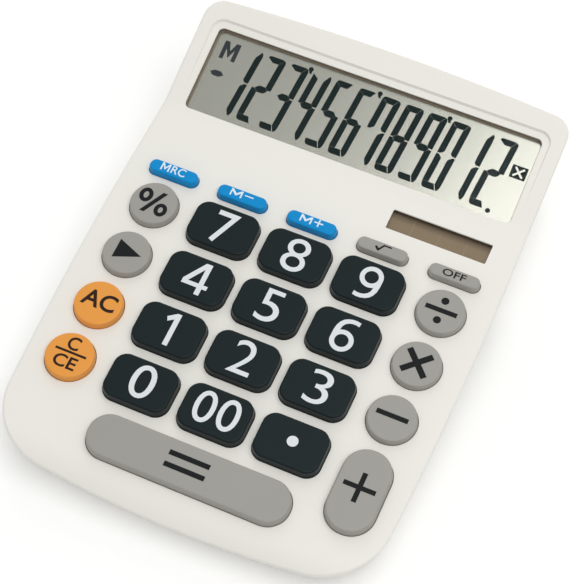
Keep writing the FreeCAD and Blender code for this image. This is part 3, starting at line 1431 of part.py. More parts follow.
def make_battery_door():
    """The sliding door under the battery, with tongues along its sides and a ribbed thumb grip."""
    body = new_body("battery_door")
    half = size("door_width") / 2
    plate = new_sketch(body, "door_plate", lift=UNDERSIDE)
    draw_rectangle(plate, -half, half, size("door_front_y"), REAR_FACE_Y - DOOR_SETBACK, DOOR_CORNER)
    pad(body, plate, size("door_thickness"))
    tongue = new_sketch(body, "door_tongue", lift=TONGUE_LOW)
    draw_rectangle(tongue, -half - DOOR_TONGUE, half + DOOR_TONGUE,
                   size("door_front_y") + TONGUE_START, REAR_FACE_Y - TONGUE_END, ROOM_CORNER)
    pad(body, tongue, UNDERSIDE + size("door_thickness") - TONGUE_LOW)
    for number in range(GRIP_COUNT):
        groove = new_sketch(body, "door_grip_%d" % number, lift=UNDERSIDE)
        groove_y = REAR_FACE_Y - GRIP_INSET - number * GRIP_PITCH
        draw_rectangle(groove, -GRIP_HALF_LENGTH, GRIP_HALF_LENGTH, groove_y, groove_y + GRIP_WIDTH,
                       LAYER_CORNER)
        pocket(body, groove, GRIP_DEPTH, reverse=True)
    finish(body, "battery_door")


make_battery_cell()
make_contact("battery_plus_contact", 1, as_size(2.1))
make_contact("battery_minus_contact", -1, as_size(3.3))
make_battery_leads()
make_battery_door()


# The screws and the feet

# The cross recess of a screw's head, as shares of its radius and height, and half a slot's width
RECESS_REACH = 0.6
RECESS_DEPTH = 0.5
RECESS_HALF = as_size(0.2)
# How far a screw stays clear of its pilot hole's wall
SHANK_GAP = as_size(0.02)
SMALL_HEAD = [as_size(1.3), as_size(0.9)]
LARGE_HEAD = [as_size(1.7), as_size(1.3)]


def screw_group(name, head, shank_radius, shank_length, places):
    """Like screws that stand head down, each a head and a shank, placed by their heads' seats."""
    head_radius, head_height = head
    reach = head_radius * RECESS_REACH
    screws = []
    for number, (x, y, z) in enumerate(places):
        tag = "%s_%d" % (name, number)
        foot = z - head_height - 0.1
        recess_top = z - head_height * RECESS_DEPTH
        head_body = cylinder(tag + "_head", head_radius, head_height, x, y, z - head_height)
        shank = cylinder(tag + "_shank", shank_radius, shank_length, x, y, z - 0.1)
        slot = block(tag + "_slot", x - reach, x + reach, y - RECESS_HALF, y + RECESS_HALF, foot,
                     recess_top)
        cross = block(tag + "_cross", x - RECESS_HALF, x + RECESS_HALF, y - reach, y + reach, foot,
                      recess_top)
        solid = fuse(tag + "_solid", [head_body, shank])
        screws.append(cut(tag, solid, fuse(tag + "_recess", [slot, cross])))
    group = doc.addObject("Part::Compound", name)
    group.Links = screws
    return group


def make_screws():
    """The screws of the board, of the display frame and of the case."""
    small_shank = size("pilot_radius") - SHANK_GAP
    board = screw_group("board_screws", SMALL_HEAD, small_shank, as_size(4.5),
                        [(x, y, BOARD_BOTTOM) for x, y in BOARD_POSTS])
    place_on_deck(board)
    finish(board, "board_screws")
    frame = screw_group("frame_screws", SMALL_HEAD, small_shank, as_size(2.6),
                        [(x, TAB_Y, FRAME_PLATE_TOP - TAB_THICKNESS) for x in FRAME_TABS])
    place_in_display(frame)
    finish(frame, "frame_screws")
    case = screw_group("case_screws", LARGE_HEAD, size("case_pilot_radius") - SHANK_GAP, as_size(6),
                       [(x, y, -size("seat_depth")) for x, y, top in CASE_POSTS])
    place_on_deck(case)
    finish(case, "case_screws")


def make_rubber_feet():
    """Four round feet let into the underside, with their lower edges rounded."""
    feet = []
    for number, (x, y, top) in enumerate(FEET):
        disc = cylinder("foot_disc_%d" % number, size("foot_radius"), top, x, y)
        foot = doc.addObject("Part::Fillet", "foot_%d" % number)
        foot.Base = disc
        doc.recompute()
        is_lower = level_edge(0)
        lower_edge = [index for index, edge in enumerate(disc.Shape.Edges, 1) if is_lower(edge)][0]
        foot.Edges = [(lower_edge, FOOT_ROUNDING, FOOT_ROUNDING)]
        feet.append(foot)
    group = doc.addObject("Part::Compound", "rubber_feet")
    group.Links = feet
    finish(group, "rubber_feet")


make_screws()
make_rubber_feet()


# Check and export

def check_document():
    """Stops if any object failed, or any piece is empty or not valid."""
    doc.recompute()
    for thing in doc.Objects:
        if "Invalid" in thing.State or "Error" in thing.State:
            raise RuntimeError("%s failed: %s" % (thing.Name, thing.State))
    for name, piece in PIECES.items():
        if piece.Shape.isNull() or not piece.Shape.isValid():
            raise RuntimeError("%s has no valid shape" % name)


def export_pieces():
    """Writes each piece to its own file."""
    os.makedirs("parts", exist_ok=True)
    for name, piece in PIECES.items():
        piece.Shape.exportStep("parts/%s.step" % name)
    print("%d pieces written" % len(PIECES))


check_document()
export_pieces()
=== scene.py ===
import math

import bmesh
import bpy
from mathutils import Matrix, Vector


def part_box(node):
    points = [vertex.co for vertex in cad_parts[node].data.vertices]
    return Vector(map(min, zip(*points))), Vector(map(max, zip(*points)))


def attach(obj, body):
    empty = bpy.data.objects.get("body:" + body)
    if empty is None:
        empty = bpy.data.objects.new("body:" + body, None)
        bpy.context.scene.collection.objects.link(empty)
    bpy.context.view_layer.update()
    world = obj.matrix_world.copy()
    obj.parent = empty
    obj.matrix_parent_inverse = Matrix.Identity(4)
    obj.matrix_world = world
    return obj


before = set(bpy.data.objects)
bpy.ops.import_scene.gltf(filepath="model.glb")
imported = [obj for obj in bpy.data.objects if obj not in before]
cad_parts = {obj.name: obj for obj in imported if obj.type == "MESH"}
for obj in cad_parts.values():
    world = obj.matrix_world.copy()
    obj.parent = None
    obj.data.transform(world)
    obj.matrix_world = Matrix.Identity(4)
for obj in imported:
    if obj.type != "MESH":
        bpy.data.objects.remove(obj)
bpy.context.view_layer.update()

MM = 0.001


# The view
# The camera stands in front of the calculator, to its right and well above it, and looks down
# the keyboard. The place, the target and the small roll, in mm and degrees, were worked out from
# the key rows.

camera_data = bpy.data.cameras.new("camera")
camera_data.sensor_fit = "HORIZONTAL"
camera_data.sensor_width = 36
camera_data.lens = 118.99
camera = bpy.data.objects.new("camera", camera_data)
camera_place = Vector((120.60, -289.01, 495.33)) * MM
camera_target = Vector((1.77, -3.12, 20.40)) * MM
camera_roll = Matrix.Rotation(math.radians(1.71), 4, "Z")
look = (camera_target - camera_place).to_track_quat("-Z", "Y").to_matrix().to_4x4()
camera.matrix_world = Matrix.Translation(camera_place) @ look @ camera_roll
bpy.context.scene.collection.objects.link(camera)
bpy.context.scene.camera = camera
bpy.context.scene.view_settings.view_transform = "Standard"


# The table
# A plain white laminate table top, much larger than the calculator. It is pressed smooth, so it
# has no grain, only the faintest change of tone.

# The table's radius in m, and how much brighter than its lit surface it looks to the camera
TABLE_RADIUS = 4.0
TABLE_LIFT = 0.16

# A colour mix has several sockets of one name, so these go by number: its share, its two colours
# in and its colour out.
MIX_SHARE = 0
MIX_FIRST = 6
MIX_SECOND = 7
MIX_COLOUR = 2


def to_linear(hex_colour):
    """Turns an sRGB hex value into the linear colour that the shaders take."""
    parts = [int(hex_colour[i:i + 2], 16) / 255 for i in (1, 3, 5)]
    linear = [p / 12.92 if p <= 0.04045 else ((p + 0.055) / 1.055) ** 2.4 for p in parts]
    return (*linear, 1.0)


def add_node(tree, kind, settings=None, values=None, links=None):
    """Adds a node with its settings, its sockets' values and the sockets that feed it."""
    node = tree.nodes.new(kind)
    for name, value in (settings or {}).items():
        setattr(node, name, value)
    for socket, value in (values or {}).items():
        node.inputs[socket].default_value = value
    for socket, source in (links or {}).items():
        tree.links.new(source, node.inputs[socket])
    return node


def new_tree(name):
    """A new material with an empty node tree."""
    material = bpy.data.materials.new(name)
    material.use_nodes = True
    material.node_tree.nodes.clear()
    return material, material.node_tree


table_mesh = bpy.data.meshes.new("table")
shape = bmesh.new()
bmesh.ops.create_circle(shape, cap_ends=True, segments=64, radius=TABLE_RADIUS)
shape.to_mesh(table_mesh)
shape.free()
table = bpy.data.objects.new("table", table_mesh)
bpy.context.scene.collection.objects.link(table)
table_white, tree = new_tree("laminate_white")
place = add_node(tree, "ShaderNodeTexCoord")
# The tone drifts over some 300 mm.
cloud = add_node(tree, "ShaderNodeTexNoise", values={"Scale": 3.0, "Detail": 2.0},
                 links={"Vector": place.outputs["Object"]})
tone = add_node(tree, "ShaderNodeMix", settings={"data_type": "RGBA"},
                values={MIX_FIRST: to_linear("#F3F3F1"), MIX_SECOND: to_linear("#F6F6F5")},
                links={MIX_SHARE: cloud.outputs["Fac"]})
matt = add_node(tree, "ShaderNodeBsdfDiffuse", links={"Color": tone.outputs[MIX_COLOUR]})
# The camera, gloss and clear parts see the table a little brighter, which keeps the
# calculator's shadow and makes the background white.
ray = add_node(tree, "ShaderNodeLightPath")
seen = add_node(tree, "ShaderNodeMath", settings={"operation": "MAXIMUM"},
                links={0: ray.outputs["Is Camera Ray"], 1: ray.outputs["Is Glossy Ray"]})
seen = add_node(tree, "ShaderNodeMath", settings={"operation": "MAXIMUM"},
                links={0: seen.outputs[0], 1: ray.outputs["Is Transmission Ray"]})
lift = add_node(tree, "ShaderNodeMath", settings={"operation": "MULTIPLY"},
                values={1: TABLE_LIFT}, links={0: seen.outputs[0]})
glow = add_node(tree, "ShaderNodeEmission", links={"Strength": lift.outputs[0]})
both = add_node(tree, "ShaderNodeAddShader", links={0: matt.outputs[0], 1: glow.outputs[0]})
add_node(tree, "ShaderNodeOutputMaterial", links={"Surface": both.outputs[0]})
table.data.materials.append(table_white)


# The light
# A plain soft studio: an even pale room, a large soft panel overhead, turned so that the display
# mirrors its left edge, and a smaller soft panel behind the display on the left.

ROOM_LIGHT = 0.53

room = bpy.data.worlds.new("room")
room.use_nodes = True
room.node_tree.nodes.clear()
# The camera sees the room white beyond the table's edge, however brightly the room lights.
ray = add_node(room.node_tree, "ShaderNodeLightPath")
level = add_node(room.node_tree, "ShaderNodeMapRange",
                 values={"To Min": ROOM_LIGHT, "To Max": 1.0},
                 links={"Value": ray.outputs["Is Camera Ray"]})
wall = add_node(room.node_tree, "ShaderNodeBackground", values={"Color": to_linear("#FFFFFF")},
                links={"Strength": level.outputs[0]})
add_node(room.node_tree, "ShaderNodeOutputWorld", links={"Surface": wall.outputs[0]})
bpy.context.scene.world = room


def soft_panel(name, where, turn, side, power):
    """A square soft box lamp, turned in degrees from facing straight down. Lengths are in m."""
    data = bpy.data.lights.new(name, "AREA")
    data.shape = "SQUARE"
    data.size = side
    data.energy = power
    lamp = bpy.data.objects.new(name, data)
    lamp.location = where
    lamp.rotation_euler = [math.radians(angle) for angle in turn]
    bpy.context.scene.collection.objects.link(lamp)


soft_panel("panel_overhead", where=(0.42, -0.1, 1.25), turn=(0, 0, -24), side=1.2, power=8.4)
soft_panel("panel_behind_left", where=(-0.45, 1.05, 0.8), turn=(-55, 0, 23), side=0.8, power=2.5)


# The casing
# Both shells and the battery door are injection moulded in warm off-white ABS. The mould is
# spark eroded, which leaves a fine even grain and a soft, half-matt sheen.

def dress(node, material):
    """Gives a CAD node its material."""
    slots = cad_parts[node].data.materials
    slots.clear()
    slots.append(material)


# How far a moulding's roughness strays either way
MOULD_UNEVENNESS = 0.06


def moulded_abs(name, colour, second_colour, roughness, grain, depth, ior=1.54):
    """Moulded ABS: a slow change of tone, uneven sheen and the grain of a spark-eroded mould,
    whose spacing and depth are in mm."""
    material, tree = new_tree(name)
    place = add_node(tree, "ShaderNodeTexCoord")
    # The plastic's flow into the mould changes its tone over some 20 mm.
    flow = add_node(tree, "ShaderNodeTexNoise", values={"Scale": 45.0, "Detail": 3.0},
                    links={"Vector": place.outputs["Object"]})
    tone = add_node(tree, "ShaderNodeMix", settings={"data_type": "RGBA"},
                    values={MIX_FIRST: to_linear(colour), MIX_SECOND: to_linear(second_colour)},
                    links={MIX_SHARE: flow.outputs["Fac"]})
    pits = add_node(tree, "ShaderNodeTexNoise",
                    values={"Scale": 1 / (grain * MM), "Detail": 2.0, "Roughness": 0.6},
                    links={"Vector": place.outputs["Object"]})
    sheen = add_node(tree, "ShaderNodeMapRange",
                     values={"To Min": roughness - MOULD_UNEVENNESS,
                             "To Max": roughness + MOULD_UNEVENNESS},
                     links={"Value": pits.outputs["Fac"]})
    bump = add_node(tree, "ShaderNodeBump", values={"Strength": 0.5, "Distance": depth * MM},
                    links={"Height": pits.outputs["Fac"]})
    plastic = add_node(tree, "ShaderNodeBsdfPrincipled", values={"IOR": ior},
                       links={"Base Color": tone.outputs[MIX_COLOUR],
                              "Roughness": sheen.outputs[0], "Normal": bump.outputs[0]})
    add_node(tree, "ShaderNodeOutputMaterial", links={"Surface": plastic.outputs[0]})
    return material


# Real grain is about 0.1 mm apart. It is drawn at 0.5 mm so that it shows, and at 0.35 to 0.4 mm
# on the smoother keys.
casing = moulded_abs("abs_offwhite_spark_eroded", "#EDEBE3", "#EFEDE6", roughness=0.5, grain=0.5,
                     depth=0.02)
for node in ("top_case", "bottom_case", "battery_door"):
    dress(node, casing)


# The black number keys
# Each key is a double-shot ABS moulding: a black shell with the digit moulded through it in
# white, so the digit is level with the top and as smooth as the key round it.

# The keyboard deck slopes up to the display. Its own axes start at the middle of the number keys:
# X to the right, Y up the slope and Z out of the deck. Legends are laid on them in mm.
DECK_MIDDLE = Vector((0, -20.15, 18.908)) * MM
DECK_TILT = math.radians(5)
DECK = Matrix.Translation(DECK_MIDDLE) @ Matrix.Rotation(DECK_TILT, 4, "X")

black_abs = moulded_abs("abs_black_double_shot", "#08181A", "#0C1D1F", roughness=0.38, grain=0.35,
                        depth=0.008, ior=1.3)
white_abs = moulded_abs("abs_white_double_shot", "#DCE1E3", "#E2E6E7", roughness=0.4, grain=0.35,
                        depth=0.006)

# A legend is a thin plate, from a little under the key's top to a little over it.
SUNK = 0.03
PROUD = 0.04


def text_shape(words, weight):
    """The outline of a word in the plain built-in font, thickened by a weight, as a bmesh."""
    curve = bpy.data.curves.new("words", "FONT")
    curve.body = words
    curve.offset = weight
    curve.extrude = 0.5
    curve.resolution_u = 6
    holder = bpy.data.objects.new("words", curve)
    mesh = bpy.data.meshes.new_from_object(holder)
    shape = bmesh.new()
    shape.from_mesh(mesh)
    bmesh.ops.remove_doubles(shape, verts=shape.verts, dist=0.0001)
    bpy.data.objects.remove(holder)
    bpy.data.meshes.remove(mesh)
    return shape


def flat_shape(corners):
    """A flat plate of unit thickness with the given corners, as a bmesh."""
    shape = bmesh.new()
    rim = [shape.verts.new((x, y, -0.5)) for x, y in corners]
    face = shape.faces.new(rim)
    raised = bmesh.ops.extrude_face_region(shape, geom=[face])["geom"]
    upper = [part for part in raised if isinstance(part, bmesh.types.BMVert)]
    bmesh.ops.translate(shape, verts=upper, vec=(0, 0, 1))
    bmesh.ops.recalc_face_normals(shape, faces=shape.faces)
    return shape


def bar_shape(left, right, bottom, top):
    """A bar of unit thickness."""
    return flat_shape([(left, bottom), (right, bottom), (right, top), (left, top)])


def letter_m(left, right, bottom, top, stroke):
    """A capital M of straight strokes."""
    middle = (left + right) / 2
    notch = top - 1.8 * stroke
    foot = bottom + 0.12 * (top - bottom)
    half = [(left, bottom), (left + stroke, bottom), (left + stroke, notch), (middle, foot)]
    other = [(left + right - x, y) for x, y in half[2::-1]]
    crown = [(right, top), (right - 1.15 * stroke, top), (middle, foot + 1.8 * stroke),
             (left + 1.15 * stroke, top), (left, top)]
    return flat_shape(half + other + crown)


# How many sides stand for a circle
ROUND_SIDES = 48


def disc_shape(x, y, radius):
    """A round dot of unit thickness."""
    shape = bmesh.new()
    bmesh.ops.create_cone(shape, cap_ends=True, segments=ROUND_SIDES, radius1=radius,
                          radius2=radius, depth=1)
    bmesh.ops.translate(shape, vec=(x, y, 0), verts=shape.verts)
    return shape


def ring_shape(x, y, width, height, stroke):
    """An upright oval ring of unit thickness, with the same stroke all round."""
    shape = bmesh.new()
    outer = bmesh.ops.create_circle(shape, segments=ROUND_SIDES, radius=1)["verts"]
    bmesh.ops.scale(shape, vec=(width / 2, height / 2, 1), verts=outer)
    inner = bmesh.ops.create_circle(shape, segments=ROUND_SIDES, radius=1)["verts"]
    bmesh.ops.scale(shape, vec=(width / 2 - stroke, height / 2 - stroke, 1), verts=inner)
    bmesh.ops.bridge_loops(shape, edges=shape.edges[:])
    raised = bmesh.ops.extrude_face_region(shape, geom=shape.faces[:])["geom"]
    upper = [part for part in raised if isinstance(part, bmesh.types.BMVert)]
    bmesh.ops.translate(shape, verts=upper, vec=(0, 0, 1))
    bmesh.ops.translate(shape, verts=shape.verts, vec=(x, y, -0.5))
    bmesh.ops.recalc_face_normals(shape, faces=shape.faces)
    return shape


def fit(shape, left, right, bottom, top):
    """Stretches a shape so that it fills a box."""
    xs = [v.co.x for v in shape.verts]
    ys = [v.co.y for v in shape.verts]
    wide = (right - left) / (max(xs) - min(xs))
    tall = (top - bottom) / (max(ys) - min(ys))
    bmesh.ops.translate(shape, verts=shape.verts, vec=(-min(xs), -min(ys), 0))
    bmesh.ops.scale(shape, verts=shape.verts, vec=(wide, tall, 1))
    bmesh.ops.translate(shape, verts=shape.verts, vec=(left, bottom, 0))
    return shape


def lay_shapes(name, shapes, plane, lower, upper, material, body):
    """Joins flat shapes into one thin piece on a plane, between a lower and an upper height."""
    mesh = bpy.data.meshes.new(name)
    whole = bmesh.new()
    for shape in shapes:
        shape.to_mesh(mesh)
        whole.from_mesh(mesh)
        shape.free()
    bmesh.ops.scale(whole, verts=whole.verts, vec=(1, 1, upper - lower))
    bmesh.ops.translate(whole, verts=whole.verts, vec=(0, 0, (upper + lower) / 2))
    bmesh.ops.scale(whole, verts=whole.verts, vec=(MM, MM, MM))
    whole.transform(plane)
    whole.to_mesh(mesh)
    whole.free()
    piece = bpy.data.objects.new(name, mesh)
    bpy.context.scene.collection.objects.link(piece)
    mesh.materials.append(material)
    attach(piece, body)


def mark_key(key, x, y, rise, shapes, material):
    """Lays a legend on the top of a key whose middle is at X, Y on the deck, in the given material."""
    plane = DECK @ Matrix.Translation(Vector((x, y, 0)) * MM)
    name = key.replace("key_", "legend_")
    lay_shapes(name, shapes, plane, rise - SUNK, rise + PROUD, material, key)


# How far the number keys stand out of the deck, and how far apart their columns and rows are
NUMBER_RISE = 3.0
COLUMN = 24.0
ROW = 19.0
# For each digit: its column and row, its box from the key's middle as left, right, bottom and top,
# and how much the font's strokes are thickened
DIGITS = {
    "7": (-1, 1.5, (-3.2, 3.8, -5.7, 5.6), 0.004),
    "8": (0, 1.5, (-3.5, 4.2, -5.8, 5.8), -0.003),
    "5": (0, 0.5, (-3.2, 3.8, -5.5, 5.7), 0.0),
    "2": (0, -0.5, (-3.3, 3.9, -5.3, 5.9), -0.002),
    "3": (1, -0.5, (-3.1, 4.0, -5.4, 5.8), -0.004),
    "0": (-1, -1.5, (-3.2, 4.3, -5.1, 5.9), 0.002),
}
for digit, (column, row, box, weight) in DIGITS.items():
    shape = fit(text_shape(digit, weight), *box)
    mark_key("key_" + digit, column * COLUMN, row * ROW, NUMBER_RISE, [shape], white_abs)

# The font's four has another form, so this digit is laid from strokes that touch.
four = [bar_shape(1.5, 3.1, -5.4, 5.65), bar_shape(3.1, 4.6, -3.0, -1.6),
        flat_shape([(1.5, -3.0), (1.5, -1.6), (-1.95, -1.6), (1.5, 3.6), (1.5, 5.65), (1.0, 5.65),
                    (-3.7, -1.4), (-3.7, -3.0)])]
mark_key("key_4", -COLUMN, 0.5 * ROW, NUMBER_RISE, four, white_abs)

# The font's six and nine end in straight strokes, so both are laid from a bowl and a curved hook.
# The hook's lower end follows the bowl's rim, so the two touch and don't overlap.
BOWL_X = 0.35
BOWL_Y = -2.15
BOWL_RADIUS = 3.65
BOWL_STROKE = 1.5
SIX_MIDDLE_Y = -0.05


def six_shapes(turn):
    """The bowl and the hook of a six, turned about the middle of the digit."""
    bowl = ring_shape(BOWL_X, BOWL_Y, 2 * BOWL_RADIUS, 2 * BOWL_RADIUS, BOWL_STROKE)
    rim = []
    for step in range(9):
        angle = math.radians(120 + 7.5 * step)
        rim.append((BOWL_X + BOWL_RADIUS * math.cos(angle), BOWL_Y + BOWL_RADIUS * math.sin(angle)))
    back = [(-3.25, 0.3), (-3.0, 2.05), (-2.4, 3.5), (-1.55, 4.55), (-0.45, 5.2), (0.9, 5.58),
            (2.3, 5.62), (3.65, 5.35)]
    front = [(3.5, 3.95), (2.6, 4.2), (1.4, 4.22), (0.3, 3.95), (-0.6, 3.35), (-1.2, 2.45)]
    hook = flat_shape((rim + back + front)[::-1])
    for shape in (bowl, hook):
        bmesh.ops.rotate(shape, cent=(BOWL_X, SIX_MIDDLE_Y, 0),
                         matrix=Matrix.Rotation(turn, 3, "Z"), verts=shape.verts)
    return [bowl, hook]


mark_key("key_6", COLUMN, 0.5 * ROW, NUMBER_RISE, six_shapes(0), white_abs)
mark_key("key_9", COLUMN, 1.5 * ROW, NUMBER_RISE, six_shapes(math.pi), white_abs)

# The font's one has no flag, so this digit is drawn as a flat shape of its own.
one = flat_shape([(0.15, -5.3), (1.75, -5.3), (1.75, 5.75), (0.4, 5.75), (-2.3, 3.8),
                  (-1.65, 2.4), (0.15, 3.6)])
mark_key("key_1", -COLUMN, -0.5 * ROW, NUMBER_RISE, [one], white_abs)
zeros = [fit(text_shape("0", 0.003), -6.7, -0.2, -4.8, 5.7),
         fit(text_shape("0", 0.003), 0.9, 7.4, -4.8, 5.7)]
mark_key("key_00", 0, -1.5 * ROW, NUMBER_RISE, zeros, white_abs)
mark_key("key_point", COLUMN, -1.5 * ROW, NUMBER_RISE, [disc_shape(0.3, 0.5, 1.7)], white_abs)
for key in ("0", "00", "point", "1", "2", "3", "4", "5", "6", "7", "8", "9"):
    dress("key_" + key, black_abs)


# The grey keys
# The percent, backspace, sum and equals keys and the two narrow keys on the right are moulded in a
# warm mid-grey ABS. Their signs are pad printed in black ink, which dries matt and stands a hair
# above the top.

grey_abs = moulded_abs("abs_grey", "#9A9892", "#9E9C96", roughness=0.4, grain=0.4, depth=0.012)


def printing_ink(name, colour, second_colour):
    """Pad-printed ink: nearly flat in tone, with thin places where it took less well."""
    material, tree = new_tree(name)
    place = add_node(tree, "ShaderNodeTexCoord")
    # The thin places are some 0.6 mm apart.
    cover = add_node(tree, "ShaderNodeTexNoise", values={"Scale": 1 / (0.6 * MM), "Detail": 3.0},
                     links={"Vector": place.outputs["Object"]})
    tone = add_node(tree, "ShaderNodeMix", settings={"data_type": "RGBA"},
                    values={MIX_FIRST: to_linear(colour), MIX_SECOND: to_linear(second_colour)},
                    links={MIX_SHARE: cover.outputs["Fac"]})
    bump = add_node(tree, "ShaderNodeBump", values={"Strength": 0.3, "Distance": 0.005 * MM},
                    links={"Height": cover.outputs["Fac"]})
    ink = add_node(tree, "ShaderNodeBsdfPrincipled", values={"IOR": 1.3, "Roughness": 0.55},
                   links={"Base Color": tone.outputs[MIX_COLOUR], "Normal": bump.outputs[0]})
    add_node(tree, "ShaderNodeOutputMaterial", links={"Surface": ink.outputs[0]})
    return material


black_ink = printing_ink("pad_print_black", "#070C0D", "#0D1314")

for key in ("percent", "backspace", "divide", "multiply", "subtract", "add", "equals",
            "square_root", "off"):
    dress("key_" + key, grey_abs)

# The round keys stand in a column at each side, and the narrow keys in one row above the rest.
SIDE_COLUMN = 47.5
ADD_Y = -34.1
EQUALS_Y = -47.2
MEMORY_ROW = 41.3
MEMORY_PITCH = 23.4
ROUND_RISE = 2.3
LONG_RISE = 2.8
NARROW_RISE = 2.5


def mark_grey(key, x, y, rise, shapes):
    """Prints a black sign on a grey key."""
    mark_key(key, x, y, rise, shapes, black_ink)


def cross_shape(x, y, width, height, stroke, turn=0.0):
    """An upright cross as one outline, turned about its middle."""
    half = stroke / 2
    corners = [(half, half), (width / 2, half), (width / 2, -half), (half, -half),
               (half, -height / 2), (-half, -height / 2), (-half, -half), (-width / 2, -half),
               (-width / 2, half), (-half, half), (-half, height / 2), (half, height / 2)]
    shape = flat_shape(corners)
    bmesh.ops.rotate(shape, cent=(0, 0, 0), matrix=Matrix.Rotation(turn, 3, "Z"), verts=shape.verts)
    bmesh.ops.translate(shape, verts=shape.verts, vec=(x, y, 0))
    return shape


slash = flat_shape([(-3.1, -4.0), (-1.6, -4.0), (2.8, 4.4), (1.3, 4.4)])
mark_grey("key_percent", -SIDE_COLUMN, 1.5 * ROW, ROUND_RISE,
          [ring_shape(-3.4, 1.8, 4.3, 5.1, 1.35), slash, ring_shape(3.0, -1.6, 4.1, 4.7, 1.3)])
mark_grey("key_backspace", -SIDE_COLUMN, 0.5 * ROW, ROUND_RISE,
          [flat_shape([(-3.5, -3.2), (4.8, 0.2), (-3.5, 3.5)])])
mark_grey("key_divide", SIDE_COLUMN, 1.5 * ROW, ROUND_RISE,
          [bar_shape(-5.0, 5.0, -0.55, 1.0), disc_shape(0, 3.6, 1.2), disc_shape(0, -3.2, 1.2)])
mark_grey("key_multiply", SIDE_COLUMN, 0.5 * ROW, ROUND_RISE,
          [cross_shape(-0.1, 0.2, 10.4, 10.6, 1.9, math.radians(44))])
mark_grey("key_subtract", SIDE_COLUMN, -0.5 * ROW, ROUND_RISE, [bar_shape(-5.1, 4.8, -0.2, 1.35)])
mark_grey("key_add", SIDE_COLUMN, ADD_Y, LONG_RISE, [cross_shape(-0.1, 0.65, 9.9, 9.5, 1.5)])
mark_grey("key_equals", 0, EQUALS_Y, LONG_RISE,
          [bar_shape(-6.8, 6.0, 1.5, 3.1), bar_shape(-6.8, 6.0, -2.3, -0.7)])
root_tick = flat_shape([(-2.35, -0.25), (-1.35, -1.2), (-0.95, -1.2), (0.35, 0.9), (2.6, 0.9),
                        (2.6, 1.38), (0.0, 1.38), (-1.15, -0.35), (-1.85, 0.3), (-2.35, 0.2)])
mark_grey("key_square_root", MEMORY_PITCH, MEMORY_ROW, NARROW_RISE, [root_tick])
mark_grey("key_off", 2 * MEMORY_PITCH, MEMORY_ROW, NARROW_RISE,
          [fit(text_shape("OFF", 0.012), -3.8, 3.6, -1.1, 1.3)])


# The orange clearing keys
# The same moulding in an orange ABS. Their letters are pad printed in a dark brown ink.

orange_abs = moulded_abs("abs_orange", "#E89734", "#EC9D3A", roughness=0.4, grain=0.4, depth=0.012)
brown_ink = printing_ink("pad_print_brown", "#24120A", "#2E180E")
mark_key("key_all_clear", -SIDE_COLUMN, -0.5 * ROW, ROUND_RISE,
         [fit(text_shape("AC", 0.02), -5.4, 5.5, -2.0, 3.7)], brown_ink)
mark_key("key_clear", -SIDE_COLUMN, -1.5 * ROW, ROUND_RISE,
         [fit(text_shape("C", 0.018), -2.2, 1.6, 1.6, 6.0), bar_shape(-5.0, 5.1, 0.45, 1.2),
          fit(text_shape("CE", 0.018), -3.9, 3.4, -4.6, -0.4)], brown_ink)
for key in ("all_clear", "clear"):
    dress("key_" + key, orange_abs)


# The blue memory keys
# The same moulding in a bright blue ABS, with letters pad printed in white ink.

blue_abs = moulded_abs("abs_blue", "#0089CC", "#028FD2", roughness=0.4, grain=0.4, depth=0.012,
                       ior=1.27)
white_ink = printing_ink("pad_print_white", "#D9E9F3", "#E6F1F7")
mark_key("key_memory_recall", -2 * MEMORY_PITCH, MEMORY_ROW, NARROW_RISE,
         [letter_m(-4.3, -1.4, -1.1, 1.7, 0.5), fit(text_shape("RC", 0.008), -0.8, 3.9, -1.1, 1.7)],
         white_ink)
mark_key("key_memory_minus", -MEMORY_PITCH, MEMORY_ROW, NARROW_RISE,
         [letter_m(-4.0, -0.1, -0.9, 1.6, 0.5), bar_shape(0.7, 3.6, 0.4, 0.8)],
         white_ink)
mark_key("key_memory_plus", 0, MEMORY_ROW, NARROW_RISE,
         [letter_m(-3.9, -0.1, -0.9, 1.6, 0.5), cross_shape(2.15, 0.45, 2.9, 2.6, 0.45)],
         white_ink)
for key in ("memory_recall", "memory_minus", "memory_plus"):
    dress("key_" + key, blue_abs)


# The display
# A reflective liquid crystal display. Its front polariser is a plastic film with a satin
# face, so it mirrors the room softly. The lit strokes are thin dark plates set in that face.

# The window's own axes start at the middle of its front edge: X to the right, Y up its slope and
# Z out of it. The display is laid on them in mm.
WINDOW_EDGE = Vector((0, 65.75, 0.2)) * MM
WINDOW_SLOPE = math.radians(12.6)
WINDOW = DECK @ Matrix.Translation(WINDOW_EDGE) @ Matrix.Rotation(WINDOW_SLOPE, 4, "X")
FILM_TOP = -2.35
STROKE_DEPTH = 0.03

polariser, tree = new_tree("polariser_film_satin")
place = add_node(tree, "ShaderNodeTexCoord")
# The satin coat is as fine as dust, drawn about 0.4 mm apart so that it shows.
haze = add_node(tree, "ShaderNodeTexNoise", values={"Scale": 1 / (0.4 * MM), "Detail": 2.0},
                links={"Vector": place.outputs["Object"]})
tone = add_node(tree, "ShaderNodeMix", settings={"data_type": "RGBA"},
                values={MIX_FIRST: to_linear("#CCC9C4"), MIX_SECOND: to_linear("#CECCC7")},
                links={MIX_SHARE: haze.outputs["Fac"]})
spread = add_node(tree, "ShaderNodeMapRange", values={"To Min": 0.2, "To Max": 0.22},
                  links={"Value": haze.outputs["Fac"]})
film = add_node(tree, "ShaderNodeBsdfPrincipled", values={"Metallic": 0.9},
                links={"Base Color": tone.outputs[MIX_COLOUR], "Roughness": spread.outputs[0]})
add_node(tree, "ShaderNodeOutputMaterial", links={"Surface": film.outputs[0]})
dress("lcd_polariser", polariser)


